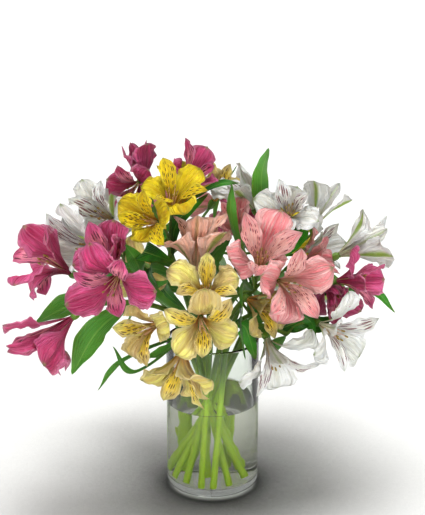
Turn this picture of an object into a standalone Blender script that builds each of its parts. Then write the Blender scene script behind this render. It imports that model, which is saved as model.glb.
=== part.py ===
"""A mixed bouquet of alstroemerias standing in a clear glass vase of water.

Run with: blender --background --python part.py
Units are metres, +Z is up, the front of the bouquet faces -Y, and the vase stands on Z = 0 round the Z axis.
"""
import math
from collections import namedtuple

import bmesh
import bpy
from mathutils import Quaternion, Vector
from mathutils.bvhtree import BVHTree

# The vase, a plain glass cylinder with a thick floor.
VASE_RADIUS = 0.040
VASE_HEIGHT = 0.137
VASE_WALL = 0.003
VASE_FLOOR = 0.008
VASE_EDGE = 0.009
VASE_INNER_EDGE = 0.006
VASE_STEPS = 28
CORNER_STEPS = 3

# The water and the holes in it that the stems stand in.
WATER_LEVEL = 0.078
SEAT_GAP = 0.0003
HOLE_GAP = 0.0005

# Stems, flower stalks and leaves.
FOOT_GAP = 0.0006
HOLE_REACH = 0.006
RIM_CLEARANCE = 0.005
STEM_RADIUS = 0.0027
STEM_TOP_RADIUS = 0.0019
STALK_RADIUS = 0.0012
OVARY_RADIUS = 0.0031
OVARY_LENGTH = 0.009
LEAF_SHEET = 0.0008

# One flower at full size: six tepals, three broad outer ones and three narrow inner ones.
OUTER_LENGTH = 0.046
OUTER_WIDTH = 0.0280
INNER_LENGTH = 0.047
INNER_WIDTH = 0.0158
PETAL_SHEET = 0.0008
SEAT_RADIUS = 0.0026
CORE_RADIUS = 0.0016
CORE_HEIGHT = 0.0016
THROAT_HEIGHT = 0.014
OUTER_ROOT_LEAN = 21
INNER_ROOT_LEAN = 8
TIP_CURL = 16
INNER_RISE = 7
SWING_END = 0.5
PATH_STEPS = 25
STAMEN_LENGTH = 0.027
STAMEN_LEAN = 0.14

# How far the aiming of a tepal bends, swings and stretches it at most, its first steps, and what
# each degree and each share of the length counts against a miss in pixels.
AIM_LIMITS = ((-45, 60), (-40, 40), (0.8, 1.25))
AIM_STEPS = (16, 12, 0.1)
AIM_ROUNDS = 5
ANGLE_STRAIN = 0.06
STRETCH_STRAIN = 12

# What a blade keeps clear of the solids of other flowers and stems.
CLEARANCE = 0.0004
SISTER_GAP = 0.0002
ROOT_SHARE = 0.4

# The front view that the places of the flowers are given in: the eye looks down a little at the
# bouquet, and columns and rows are counted from the view's upper left corner.
VIEW_TILT = math.radians(18.2)
VIEW_DISTANCE = 1.300
VIEW_AIM = Vector((0, 0, 0.2085))
VIEW_FOCUS = 1539
VIEW_COLUMN = 212.0
VIEW_ROW = 257.5

COLOURS = {
    "magenta": (0.70, 0.09, 0.30),
    "white": (0.86, 0.86, 0.80),
    "yellow": (0.85, 0.62, 0.03),
    "buff": (0.80, 0.68, 0.25),
    "salmon": (0.85, 0.32, 0.35),
    "peach": (0.86, 0.42, 0.32),
}

Stem = namedtuple("Stem", "name foot mouth head")
Flower = namedtuple("Flower", "name colour stem place heading tilt roll spread size")
Leaf = namedtuple("Leaf", "stem root via tip width turn")


def seen_at(column, row, depth):
    """The point that the front view shows at a column and row, at a depth behind the vase's axis."""
    back = Vector((0, -math.cos(VIEW_TILT), math.sin(VIEW_TILT)))
    rise = Vector((0, math.sin(VIEW_TILT), math.cos(VIEW_TILT)))
    eye = VIEW_AIM + VIEW_DISTANCE * back
    ray = Vector((1, 0, 0)) * (column - VIEW_COLUMN) + rise * (VIEW_ROW - row) - back * VIEW_FOCUS
    return eye + ray * ((depth / 1000 - eye.y) / ray.y)


def shown_at(point):
    """The column and row that the front view shows a point at."""
    back = Vector((0, -math.cos(VIEW_TILT), math.sin(VIEW_TILT)))
    rise = Vector((0, math.sin(VIEW_TILT), math.cos(VIEW_TILT)))
    arm = point - VIEW_AIM - VIEW_DISTANCE * back
    scale = VIEW_FOCUS / -arm.dot(back)
    return VIEW_COLUMN + scale * arm.x, VIEW_ROW - scale * arm.dot(rise)


def millimetres(x, y, z):
    return Vector((x, y, z)) / 1000


# Where each stem stands on the vase's floor, crosses its mouth, and ends in its whorl of stalks.
STEMS = (
    Stem("magenta_left", (13, -23), (-15, -24), millimetres(-86, -42, 184)),
    Stem("white_left", (22, -4), (-27, -4), millimetres(-76, 0, 200)),
    Stem("magenta_top", (14, 22), (-17, 22), millimetres(-48, 26, 236)),
    Stem("yellow_top", (-3, 2.5), (-10, 2), millimetres(-36, -12, 214)),
    Stem("buff_front", (-9, -30), (-2, -31), millimetres(-26, -62, 180)),
    Stem("buff_right", (0.5, -30.5), (11, -30), millimetres(32, -40, 172)),
    Stem("salmon", (-20, -17), (8, -17), millimetres(36, -26, 190)),
    Stem("white_top", (-15, 15.5), (18, 15.5), millimetres(54, 26, 204)),
    Stem("white_right", (-29, -10.5), (28, -10.5), millimetres(62, -34, 152)),
    Stem("magenta_right", (-27, 9), (29, 9), millimetres(84, 4, 172)),
    Stem("white_back", (-12, 28.5), (-14, 28.5), millimetres(-62, 52, 186)),
    Stem("salmon_back", (-4, 29), (-3, 29), millimetres(-2, 62, 196)),
    Stem("magenta_back", (6, 28.5), (12, 28.5), millimetres(56, 54, 178)),
)

# The flowers. Headings turn from facing the viewer at 0 to the viewer's right at 90, and tilts rise
# from level. The roll turns the flower in its own plane, the spread is how far its tepals lean out.
FLOWERS = (
    Flower("magenta_01", "magenta", "magenta_left", seen_at(54, 265, -38), -56, 34, 10, 60, 1.22),
    Flower("magenta_02", "magenta", "magenta_left", seen_at(110, 263, -58), -20, 42, -5, 62, 1.10),
    Flower("magenta_03", "magenta", "magenta_left", seen_at(113, 282, -98), -14, -6, 20, 72, 1.12),
    Flower("magenta_04", "magenta", "magenta_left", seen_at(56, 331, -74), -54, -28, 10, 58, 1.20),
    Flower("white_01", "white", "white_left", seen_at(104, 216, -8), -30, 28, 30, 58, 1.08),
    Flower("white_02", "white", "white_left", seen_at(92, 248, -28), -55, 15, 20, 62, 1.08),
    Flower("magenta_05", "magenta", "magenta_top", seen_at(134, 187, 8), -14, 0, -35, 58, 0.90),
    Flower("magenta_06", "magenta", "magenta_top", seen_at(142, 172, 42), -150, 68, 0, 17, 0.80),
    Flower("magenta_07", "magenta", "magenta_top", seen_at(191, 178, 28), 30, 45, -30, 42, 0.90),
    Flower("yellow_01", "yellow", "yellow_top", seen_at(172, 199, -20), 10, 62, 70, 62, 0.96),
    Flower("yellow_02", "yellow", "yellow_top", seen_at(150, 221, -52), -25, 20, 55, 72, 0.96),
    Flower("buff_01", "buff", "buff_front", seen_at(206, 291, -84), 0, 46, 60, 60, 0.98),
    Flower("buff_02", "buff", "buff_front", seen_at(147, 328, -86), -35, 4, 30, 70, 0.93),
    Flower("buff_03", "buff", "buff_front", seen_at(202, 324, -100), 8, -6, 0, 72, 0.98),
    Flower("buff_04", "buff", "buff_front", seen_at(180, 364, -74), -20, -52, -25, 50, 1.05),
    Flower("buff_05", "buff", "buff_right", seen_at(258, 304, -46), 45, -5, 0, 55, 0.88),
    Flower("peach_01", "peach", "salmon", seen_at(196, 252, -38), 175, 72, 60, 50, 1.20),
    Flower("salmon_01", "salmon", "salmon", seen_at(260, 260, -52), 8, 48, -20, 60, 1.18),
    Flower("salmon_02", "salmon", "salmon", seen_at(286, 284, -74), 25, 8, 60, 66, 1.12),
    Flower("salmon_03", "salmon", "salmon", seen_at(236, 228, 0), -30, 60, 0, 32, 0.72),
    Flower("salmon_04", "salmon", "buff_right", seen_at(306, 262, -20), 75, 25, 0, 48, 0.82),
    Flower("white_03", "white", "white_top", seen_at(247, 198, 26), -60, 58, 0, 44, 0.88),
    Flower("white_04", "white", "white_top", seen_at(289, 212, -14), 0, 34, -10, 64, 0.90),
    Flower("white_05", "white", "white_top", seen_at(318, 212, 34), 150, 52, 0, 42, 0.86),
    Flower("white_06", "white", "white_top", seen_at(314, 247, 14), 65, 28, 0, 48, 0.78),
    Flower("white_07", "white", "magenta_right", seen_at(354, 248, 4), 100, 22, 0, 52, 1.06),
    Flower("magenta_08", "magenta", "magenta_right", seen_at(351, 281, -38), 60, 10, 20, 58, 0.98),
    Flower("magenta_09", "magenta", "magenta_right", seen_at(330, 290, -22), 20, -22, 0, 55, 0.85),
    Flower("white_08", "white", "white_right", seen_at(332, 330, -48), 42, -5, -12, 66, 1.06),
    Flower("white_09", "white", "white_right", seen_at(272, 353, -56), 25, -38, -40, 60, 1.04),
    Flower("buff_06", "buff", "yellow_top", seen_at(218, 192, 52), 60, 60, 0, 44, 0.72),
    Flower("white_10", "white", "white_back", millimetres(-88, 62, 212), -145, 25, 0, 64, 1.05),
    Flower("buff_07", "buff", "white_back", millimetres(-66, 84, 164), -155, -8, 0, 66, 1.00),
    Flower("salmon_05", "salmon", "salmon_back", millimetres(-30, 98, 224), -170, 25, 0, 64, 1.10),
    Flower("yellow_03", "yellow", "salmon_back", millimetres(-26, 60, 246), 180, 55, 0, 60, 0.95),
    Flower("magenta_10", "magenta", "magenta_back", millimetres(26, 100, 210), 170, 12, 0, 64, 1.08),
    Flower("white_11", "white", "magenta_back", millimetres(74, 92, 160), 145, -6, 0, 66, 1.05),
    Flower("yellow_04", "yellow", "salmon_back", millimetres(60, 86, 196), 140, 12, 0, 62, 0.98),
)

# The columns and rows that the front view shows some of the tepals' tips at. A flower's tepals are
# numbered from 0, the broad one at its top, clockwise to 5, and the odd ones are the narrow ones.
TIPS = {
    "magenta_01": {0: (17, 230), 1: (53, 224), 2: (12, 282), 3: (46, 295), 4: (30, 292), 5: (3, 254)},
    "magenta_02": {0: (112, 220), 1: (124, 240), 2: (141, 247), 4: (80, 262), 5: (88, 222)},
    "magenta_03": {1: (122, 258), 2: (156, 291), 3: (118, 317), 4: (66, 303), 5: (73, 274)},
    "magenta_04": {0: (4, 321), 1: (5, 349), 2: (40, 366), 3: (57, 377), 4: (64, 356), 5: (7, 354)},
    "white_01": {0: (81, 180), 1: (104, 177), 5: (68, 199)},
    "white_02": {0: (61, 203), 3: (70, 272), 4: (52, 262), 5: (43, 214)},
    "magenta_05": {0: (150, 167), 1: (154, 192), 4: (108, 178), 5: (117, 166)},
    "magenta_07": {0: (207, 147), 1: (213, 164), 2: (206, 183), 5: (184, 138)},
    "yellow_01": {0: (143, 182), 1: (163, 156), 2: (199, 169), 3: (207, 191), 4: (184, 209), 5: (159, 203)},
    "yellow_02": {0: (118, 203), 1: (141, 192), 2: (172, 212), 3: (163, 245), 4: (135, 247), 5: (113, 219)},
    "buff_01": {0: (168, 268), 1: (207, 252), 2: (238, 280), 4: (200, 305)},
    "buff_02": {0: (133, 309), 2: (171, 322), 4: (131, 361), 5: (112, 328)},
    "buff_03": {1: (231, 300), 2: (235, 335), 3: (202, 358), 4: (183, 350), 5: (169, 302)},
    "buff_04": {0: (210, 384), 1: (205, 409), 3: (163, 401), 4: (142, 386), 5: (146, 374)},
    "peach_01": {0: (225, 231), 1: (197, 214), 2: (168, 240), 4: (206, 211)},
    "salmon_01": {0: (281, 208), 1: (301, 232), 2: (292, 262), 4: (227, 262), 5: (244, 213)},
    "salmon_02": {0: (262, 276), 1: (300, 248), 2: (330, 268), 3: (317, 318), 4: (271, 315)},
    "white_03": {0: (236, 163), 1: (254, 164), 5: (227, 181)},
    "white_04": {0: (297, 187), 1: (320, 190), 2: (318, 221), 4: (260, 195), 5: (278, 178)},
    "white_07": {0: (364, 210), 1: (388, 217), 3: (387, 270), 4: (393, 252)},
    "magenta_08": {0: (352, 251), 1: (384, 263), 2: (382, 283), 3: (373, 309)},
    "white_08": {0: (345, 291), 1: (379, 319), 2: (362, 358), 3: (344, 371), 4: (314, 355)},
    "white_09": {0: (312, 330), 1: (320, 367), 2: (279, 392), 4: (239, 383)},
}

# The leaves. Each leaves its stem at a share of the stem's length and runs past one point to its tip.
LEAVES = (
    Leaf("magenta_left", 0.96, seen_at(76, 303, -38), seen_at(35, 323, -34), 0.023, 70),
    Leaf("magenta_left", 0.90, seen_at(92, 328, -52), seen_at(65, 370, -52), 0.026, 78),
    Leaf("magenta_left", 0.99, seen_at(78, 304, -60), seen_at(56, 316, -66), 0.009, 50),
    Leaf("white_top", 0.96, seen_at(257, 182, 6), seen_at(263, 145, 10), 0.016, 60),
    Leaf("salmon", 0.97, seen_at(216, 226, -22), seen_at(208, 188, -20), 0.010, 60),
    Leaf("yellow_top", 0.97, seen_at(176, 222, -4), seen_at(207, 193, 6), 0.011, 50),
    Leaf("magenta_top", 0.97, seen_at(213, 196, 20), seen_at(240, 196, 14), 0.008, 30),
    Leaf("yellow_top", 0.90, seen_at(143, 252, -26), seen_at(173, 262, -52), 0.018, 60),
    Leaf("yellow_top", 0.80, seen_at(150, 268, -30), seen_at(158, 290, -52), 0.012, 55),
    Leaf("salmon", 0.88, seen_at(212, 262, -10), seen_at(230, 238, -18), 0.016, 60),
    Leaf("salmon", 0.80, seen_at(200, 262, -6), seen_at(178, 240, -12), 0.014, 40),
    Leaf("salmon", 0.98, seen_at(243, 286, -62), seen_at(242, 315, -78), 0.013, 80),
    Leaf("buff_right", 0.88, seen_at(240, 318, -58), seen_at(245, 360, -58), 0.014, 80),
    Leaf("white_right", 0.80, seen_at(262, 346, -40), seen_at(278, 331, -46), 0.017, -40),
    Leaf("magenta_right", 0.86, seen_at(318, 318, -16), seen_at(335, 308, -26), 0.015, 60),
    Leaf("white_right", 0.90, seen_at(296, 322, -28), seen_at(322, 308, -20), 0.018, 60),
    Leaf("salmon", 0.84, seen_at(288, 308, -52), seen_at(293, 326, -66), 0.009, 70),
    Leaf("magenta_right", 0.98, seen_at(368, 290, -8), seen_at(395, 313, -8), 0.008, 40),
    Leaf("buff_front", 0.80, seen_at(168, 348, -58), seen_at(142, 360, -66), 0.012, 60),
    Leaf("buff_front", 0.72, seen_at(136, 372, -56), seen_at(112, 346, -70), 0.006, 60),
    Leaf("buff_front", 0.66, seen_at(124, 360, -46), seen_at(97, 391, -52), 0.007, 60),
    Leaf("magenta_top", 0.84, seen_at(160, 240, 18), seen_at(170, 222, 24), 0.014, 50),
    Leaf("white_left", 0.84, seen_at(136, 262, -24), seen_at(124, 244, -20), 0.014, 60),
    Leaf("buff_front", 0.88, seen_at(160, 300, -50), seen_at(148, 284, -60), 0.013, 50),
    Leaf("yellow_top", 0.70, seen_at(164, 288, -22), seen_at(186, 312, -40), 0.016, 60),
    Leaf("salmon", 0.92, seen_at(236, 264, -14), seen_at(247, 240, -14), 0.017, 60),
    Leaf("buff_right", 0.76, seen_at(250, 324, -34), seen_at(262, 354, -44), 0.016, 80),
    Leaf("white_right", 0.72, seen_at(256, 326, -20), seen_at(246, 296, -24), 0.016, 50),
    Leaf("white_top", 0.86, seen_at(296, 240, 20), seen_at(308, 216, 16), 0.016, 60),
    Leaf("white_back", 0.90, millimetres(-90, 60, 176), millimetres(-128, 66, 168), 0.018, -50),
    Leaf("white_back", 0.80, millimetres(-60, 72, 150), millimetres(-78, 84, 118), 0.016, -50),
    Leaf("salmon_back", 0.86, millimetres(8, 86, 172), millimetres(14, 104, 138), 0.018, -70),
    Leaf("salmon_back", 0.94, millimetres(0, 78, 236), millimetres(14, 86, 268), 0.012, -70),
    Leaf("magenta_back", 0.88, millimetres(92, 62, 172), millimetres(124, 66, 150), 0.018, -60),
    Leaf("magenta_back", 0.80, millimetres(50, 74, 136), millimetres(58, 92, 112), 0.014, -60),
)

# The bows that a stalk tries, and the weld and solver of the joined solids.
STALK_BOWS = (0.004, 0.008, 0.012, 0.017, 0.023)
BOW_DIRECTIONS = 8
WELD = 0.000001
JOIN_SOLVER = "MANIFOLD"

# The bends that a blade tries, mildest first, until it crosses no other flower or stem.
BENDS = (0, -8, 8, -16, 16, -24, 24, -34, 34, -46, 46)
SWINGS = (0, 8, -8, 16, -16, 26, -26)
TRIMS = (1.0, 0.92, 0.84, 0.75, 0.65, 0.55)
TRIM_STRAIN = 126


class Clearance:
    """The solids placed so far, each a little fattened, and what a new one would cross."""

    def __init__(self):
        self.solids = []

    def add(self, owners, shell):
        centre, radius = reach(shell[0])
        self.solids.append((owners, centre, radius, BVHTree.FromPolygons(*shell)))

    def crossed(self, owners, shell):
        centre, radius = reach(shell[0])
        tree = None
        for others, other_centre, other_radius, other_tree in self.solids:
            if owners & others or (centre - other_centre).length > radius + other_radius:
                continue
            tree = tree or BVHTree.FromPolygons(*shell)
            if tree.overlap(other_tree):
                return True
        return False


def reach(points):
    """The centre and radius of a ball round some points."""
    centre = sum(points, Vector()) / len(points)
    return centre, max((point - centre).length for point in points)


def smooth_path(points, count):
    """Points along a Catmull-Rom curve through the given points."""
    ends = [2 * points[0] - points[1], *points, 2 * points[-1] - points[-2]]
    path = []
    for index in range(count + 1):
        place = index / count * (len(points) - 1)
        first = min(int(place), len(points) - 2)
        t = place - first
        p0, p1, p2, p3 = ends[first:first + 4]
        path.append(0.5 * (2 * p1 + (p2 - p0) * t + (2 * p0 - 5 * p1 + 4 * p2 - p3) * t ** 2
                           + (3 * p1 - p0 - 3 * p2 + p3) * t ** 3))
    return path


def tube_shell(path, radii, sides=6):
    """The corners and faces of a closed tube, used only to test clearance."""
    corners = []
    faces = []
    for index, point in enumerate(path):
        along = path[min(index + 1, len(path) - 1)] - path[max(index - 1, 0)]
        across = along.orthogonal().normalized()
        up = along.cross(across).normalized()
        for side in range(sides):
            angle = math.tau * side / sides
            corners.append(point + radii[index] * (math.cos(angle) * across + math.sin(angle) * up))
    for index in range(len(path) - 1):
        for side in range(sides):
            a = index * sides + side
            b = index * sides + (side + 1) % sides
            faces.append((a, b, b + sides, a + sides))
    faces.append(tuple(range(sides)))
    faces.append(tuple(range(len(corners) - sides, len(corners))))
    return corners, faces


def blade_shell(rows, half, rim):
    """The corners and faces of a blade, half its thickness to each side, made wider by a rim."""
    count = len(rows)
    wide = len(rows[0])
    top = []
    bottom = []
    for i, row in enumerate(rows):
        for j, point in enumerate(row):
            along = rows[min(i + 1, count - 1)][j] - rows[max(i - 1, 0)][j]
            across = row[min(j + 1, wide - 1)] - row[max(j - 1, 0)]
            normal = along.cross(across).normalized()
            outward = across.normalized() * ((j == wide - 1) - (j == 0))
            outward += along.normalized() * (i == count - 1)
            top.append(point + half * normal + rim * outward)
            bottom.append(point - half * normal + rim * outward)
    faces = []
    for i in range(count - 1):
        for j in range(wide - 1):
            a = i * wide + j
            faces.append((a, a + 1, a + wide + 1))
            faces.append((a, a + wide + 1, a + wide))
    below = len(top)
    faces += [tuple(corner + below for corner in reversed(face)) for face in faces]
    border = [j for j in range(wide)]
    border += [i * wide + wide - 1 for i in range(1, count)]
    border += [(count - 1) * wide + j for j in range(wide - 2, -1, -1)]
    border += [i * wide for i in range(count - 2, 0, -1)]
    for a, b in zip(border, border[1:] + border[:1]):
        faces.append((b, a, a + below))
        faces.append((b, a + below, b + below))
    return top + bottom, faces


def profile(t, knots):
    """A width that runs straight from knot to knot."""
    for (t0, w0), (t1, w1) in zip(knots, knots[1:]):
        if t <= t1:
            return w0 + (w1 - w0) * (t - t0) / (t1 - t0)
    return knots[-1][1]


# The widths of the blades, as pairs of a share of the length and a share of the full width, and the
# shares of the length that the blades have a row of corners at.
OUTER_SHAPE = ((0, 0.07), (0.2, 0.18), (0.32, 0.28), (0.42, 0.58), (0.55, 0.90), (0.72, 1.0),
               (0.9, 0.84), (1, 0.40))
INNER_SHAPE = ((0, 0.12), (0.2, 0.25), (0.32, 0.34), (0.45, 0.68), (0.68, 1.0), (0.85, 0.82), (1, 0.20))
LEAF_SHAPE = ((0, 0.16), (0.15, 0.35), (0.4, 0.95), (0.6, 1.0), (0.8, 0.65), (1, 0.07))
TEPAL_ROWS = (0, 0.32, 0.56, 0.80, 1)
LEAF_ROWS = (0, 0.24, 0.5, 0.78, 1)
LEAF_STEPS = 30


def flower_axes(flower):
    """Where a flower faces, with its own upward and rightward directions."""
    heading = math.radians(flower.heading)
    tilt = math.radians(flower.tilt)
    level = Vector((math.sin(heading), -math.cos(heading), 0))
    forward = level * math.cos(tilt) + Vector((0, 0, math.sin(tilt)))
    up = Vector((0, 0, math.cos(tilt))) - level * math.sin(tilt)
    return forward, up, up.cross(forward)


def flower_base(flower):
    return flower.place - flower_axes(flower)[0] * THROAT_HEIGHT * flower.size


def tepal_path(flower, number, bend, swing, stretch):
    """Places along one tepal's midline, each with its direction, its inward normal and its side."""
    forward, up, right = flower_axes(flower)
    length = (INNER_LENGTH if number % 2 else OUTER_LENGTH) * flower.size * stretch
    finish = flower.spread + bend - (INNER_RISE if number % 2 else 0)
    root_lean = INNER_ROOT_LEAN if number % 2 else OUTER_ROOT_LEAN
    point = None
    path = []
    for step in range(PATH_STEPS + 1):
        t = step / PATH_STEPS
        turn = math.radians(flower.roll + 90 - 60 * number + swing * min(1, t / SWING_END))
        out = math.cos(turn) * right + math.sin(turn) * up
        side = -math.sin(turn) * right + math.cos(turn) * up
        if point is None:
            point = flower_base(flower) + forward * CORE_HEIGHT / 2 + out * (SEAT_RADIUS + CORE_RADIUS) / 2
        lean = root_lean + (finish - root_lean) * min(1, t / 0.8) ** 1.2 + TIP_CURL * max(0, t - 0.7) / 0.3
        lean = math.radians(lean)
        along = math.sin(lean) * out + math.cos(lean) * forward
        path.append((point, along, math.sin(lean) * forward - math.cos(lean) * out, side))
        point = point + along * length / PATH_STEPS
    return path


def aimed(flower, number):
    """The bend, swing and stretch that bring a tepal's tip to where the front view shows it."""
    target = TIPS.get(flower.name, {}).get(number)
    best = (0, 0, 1)
    if target is None:
        return best

    def miss(choice):
        column, row = shown_at(tepal_path(flower, number, *choice)[-1][0])
        strain = abs(choice[0]) * ANGLE_STRAIN + abs(choice[1]) * ANGLE_STRAIN
        strain += abs(choice[2] - 1) * STRETCH_STRAIN
        return math.hypot(column - target[0], row - target[1]) + strain

    steps = AIM_STEPS
    for _ in range(AIM_ROUNDS):
        moved = True
        while moved:
            moves = [best]
            for axis in range(3):
                for sign in (-1, 1):
                    move = list(best)
                    move[axis] += sign * steps[axis]
                    moves.append(tuple(move))
            moves = [tuple(max(low, min(high, value)) for value, (low, high) in zip(move, AIM_LIMITS))
                     for move in moves]
            nearest = min(moves, key=miss)
            moved = miss(nearest) < miss(best) - 0.0001
            best = nearest
        steps = tuple(step / 2 for step in steps)
    return best


def tepal_rows(flower, number, bend, swing, stretch, trim):
    """The rows of points across one tepal, from its root in the flower's core to its tip."""
    inner = number % 2 == 1
    half_width = (INNER_WIDTH if inner else OUTER_WIDTH) * flower.size / 2 * (0.5 + 0.5 * trim)
    shape = INNER_SHAPE if inner else OUTER_SHAPE
    path = tepal_path(flower, number, bend, swing, stretch * trim)
    rows = []
    for t in TEPAL_ROWS:
        point, _, normal, side = path[round(t * PATH_STEPS)]
        width = half_width * profile(t, shape)
        if inner:
            rows.append((point - side * width, point + side * width))
        else:
            cup = normal * width * 0.16 * (1 - 0.5 * t)
            rows.append((point - side * width + cup, point - cup * 0.3, point + side * width + cup))
    return rows


def leaf_rows(leaf, path_of, bend, swing, trim):
    """The rows of points across one leaf, from its root in the stem to its tip."""
    stem_path = path_of[leaf.stem]
    place = leaf.root * (len(stem_path) - 1)
    first = min(int(place), len(stem_path) - 2)
    root = stem_path[first].lerp(stem_path[first + 1], place - first)
    chord = leaf.tip - root
    side = chord.cross(Vector((0, 0, 1))).normalized()
    side = Quaternion(chord, math.radians(leaf.turn)) @ side
    lift = side.cross(chord).normalized()
    push = lift * (bend / 1000) + side * (swing / 1000)
    via = leaf.via + push * 0.7
    tip = root.lerp(leaf.tip, trim) + push
    path = smooth_path([root, via, tip], LEAF_STEPS)
    rows = []
    for t in LEAF_ROWS:
        index = round(t * LEAF_STEPS)
        along = (path[min(index + 1, LEAF_STEPS)] - path[max(index - 1, 0)]).normalized()
        across = along.cross(lift).normalized()
        normal = across.cross(along)
        width = leaf.width / 2 * profile(t, LEAF_SHAPE)
        cup = normal * width * 0.25
        wave = normal * width * 0.18 * math.sin(11 * t)
        rows.append((path[index] - across * width + cup + wave, path[index],
                     path[index] + across * width + cup - wave))
    return rows


def clear_blade(clearance, owners, rows_for, half, sisters=()):
    """The mildest bend of a blade that crosses nothing, or nothing where every bend crosses."""
    tries = [(abs(bend) + abs(swing) + (1 - trim) * TRIM_STRAIN, bend, swing, trim)
             for bend in BENDS for swing in SWINGS for trim in TRIMS]
    for kept_off in (sisters, ()):
        for _, bend, swing, trim in sorted(tries):
            rows = rows_for(bend, swing, trim)
            shell = blade_shell(rows, half + CLEARANCE, half + CLEARANCE)
            if clearance.crossed(owners, shell):
                continue
            own = BVHTree.FromPolygons(*blade_shell(past_root(rows), half, 0)) if kept_off else None
            if any(own.overlap(sister) for sister in kept_off):
                continue
            clearance.add(owners, shell)
            return rows
    return None


def past_root(rows):
    """The rows of a blade with the first one moved a little way up, off its neighbours' roots."""
    return [[near.lerp(far, ROOT_SHARE) for near, far in zip(rows[0], rows[1])]] + rows[1:]


def curve_out(start, direction, finish, steps):
    """A curve that leaves its start in one direction and bends to its finish."""
    bow = start + direction.normalized() * (finish - start).length * 0.45
    shares = [step / steps for step in range(steps + 1)]
    return [start.lerp(bow, t).lerp(bow.lerp(finish, t), t) for t in shares]


def stem_path(stem):
    """A stem runs straight from the vase's floor to its mouth, and then bends out to its head."""
    mouth = Vector((stem.mouth[0] / 1000, stem.mouth[1] / 1000, VASE_HEIGHT + RIM_CLEARANCE))
    foot = Vector((stem.foot[0] / 1000, stem.foot[1] / 1000, VASE_FLOOR + FOOT_GAP))
    slant = (mouth - foot).normalized()
    foot.z += STEM_RADIUS * math.hypot(slant.x, slant.y)
    corner_start = VASE_RADIUS - VASE_WALL - VASE_INNER_EDGE
    into_corner = max(0, math.hypot(foot.x, foot.y) + STEM_RADIUS - corner_start)
    foot.z += VASE_INNER_EDGE - math.sqrt(VASE_INNER_EDGE ** 2 - into_corner ** 2)
    return [foot, foot.lerp(mouth, 0.5)] + curve_out(mouth, mouth - foot, stem.head, 3)


def stem_radii(path):
    share = [index / (len(path) - 1) for index in range(len(path))]
    return [STEM_RADIUS + (STEM_TOP_RADIUS - STEM_RADIUS) * t for t in share]


def stalk_path(flower, head, bow):
    """A stalk from the stem's head to its flower, with the seed pod as its thick end."""
    forward = flower_axes(flower)[0]
    seat = flower_base(flower) - forward * SEAT_GAP
    pod = seat - forward * OVARY_LENGTH
    middle = (head + pod) / 2 - forward * (pod - head).length * 0.15 + bow
    return [head, middle, pod, pod.lerp(seat, 0.45), seat]


def stalk_radii():
    return [STALK_RADIUS * 1.2, STALK_RADIUS, STALK_RADIUS, OVARY_RADIUS, OVARY_RADIUS * 0.85]


def stalk_bows(flower, head):
    """The sideways bows that a stalk tries, from none to wide."""
    along = (flower.place - head).normalized()
    across = along.orthogonal().normalized()
    up = along.cross(across)
    yield Vector()
    for size in STALK_BOWS:
        for step in range(BOW_DIRECTIONS):
            angle = math.tau * step / BOW_DIRECTIONS
            yield (math.cos(angle) * across + math.sin(angle) * up) * size


def material(name, colour, roughness, transmission=0):
    made = bpy.data.materials.new(name)
    made.use_nodes = True
    shader = made.node_tree.nodes["Principled BSDF"]
    shader.inputs["Base Color"].default_value = (*colour, 1)
    shader.inputs["Roughness"].default_value = roughness
    shader.inputs["Metallic"].default_value = 0
    shader.inputs["Transmission Weight"].default_value = transmission
    return made


def add_object(name, data, collection, look=None):
    made = bpy.data.objects.new(name, data)
    collection.objects.link(made)
    if look:
        data.materials.append(look)
    return made


def baked(made):
    """Replaces an object by the mesh that its curve or modifiers give, with its caps welded."""
    depsgraph = bpy.context.evaluated_depsgraph_get()
    mesh = bpy.data.meshes.new_from_object(made.evaluated_get(depsgraph))
    work = bmesh.new()
    work.from_mesh(mesh)
    bmesh.ops.remove_doubles(work, verts=work.verts, dist=WELD)
    bmesh.ops.recalc_face_normals(work, faces=work.faces)
    work.to_mesh(mesh)
    work.free()
    solid = bpy.data.objects.new(made.name, mesh)
    solid.matrix_world = made.matrix_world
    for collection in made.users_collection:
        collection.objects.link(solid)
    name = made.name
    bpy.data.objects.remove(made)
    solid.name = name
    return solid


def tube(name, path, radii, collection, resolution=1):
    curve = bpy.data.curves.new(name, "CURVE")
    curve.dimensions = "3D"
    curve.bevel_depth = 1
    curve.bevel_resolution = resolution
    curve.use_fill_caps = True
    spline = curve.splines.new("POLY")
    spline.points.add(len(path) - 1)
    for point, place, radius in zip(spline.points, path, radii):
        point.co = (*place, 1)
        point.radius = radius
    return baked(add_object(name, curve, collection))


def blade(name, rows, thickness, collection):
    """A sheet through rows of points, made a thin solid."""
    mesh = bpy.data.meshes.new(name)
    work = bmesh.new()
    wide = len(rows[0]) - 1
    long = len(rows) - 1
    bmesh.ops.create_grid(work, x_segments=wide, y_segments=long, size=1)
    for corner in work.verts:
        column = round((corner.co.x + 1) / 2 * wide)
        row = round((corner.co.y + 1) / 2 * long)
        corner.co = rows[row][column]
    bmesh.ops.triangulate(work, faces=work.faces, quad_method="FIXED")
    work.to_mesh(mesh)
    work.free()
    made = add_object(name, mesh, collection)
    solidify = made.modifiers.new("Solidify", "SOLIDIFY")
    solidify.thickness = thickness
    solidify.offset = 0
    return baked(made)


def one_body(mesh):
    """Drops loose scraps and sealed hollows, and leaves the largest closed body."""
    work = bmesh.new()
    work.from_mesh(mesh)
    bmesh.ops.triangulate(work, faces=work.faces)
    left = set(work.faces)
    bodies = []
    while left:
        found = [left.pop()]
        for face in found:
            near = {other for edge in face.edges for other in edge.link_faces}
            near &= left
            left -= near
            found.extend(near)
        bodies.append(found)
    bodies.sort(key=len)
    spare = [face for body in bodies[:-1] for face in body]
    bmesh.ops.delete(work, geom=spare, context="FACES")
    work.to_mesh(mesh)
    work.free()


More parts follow.
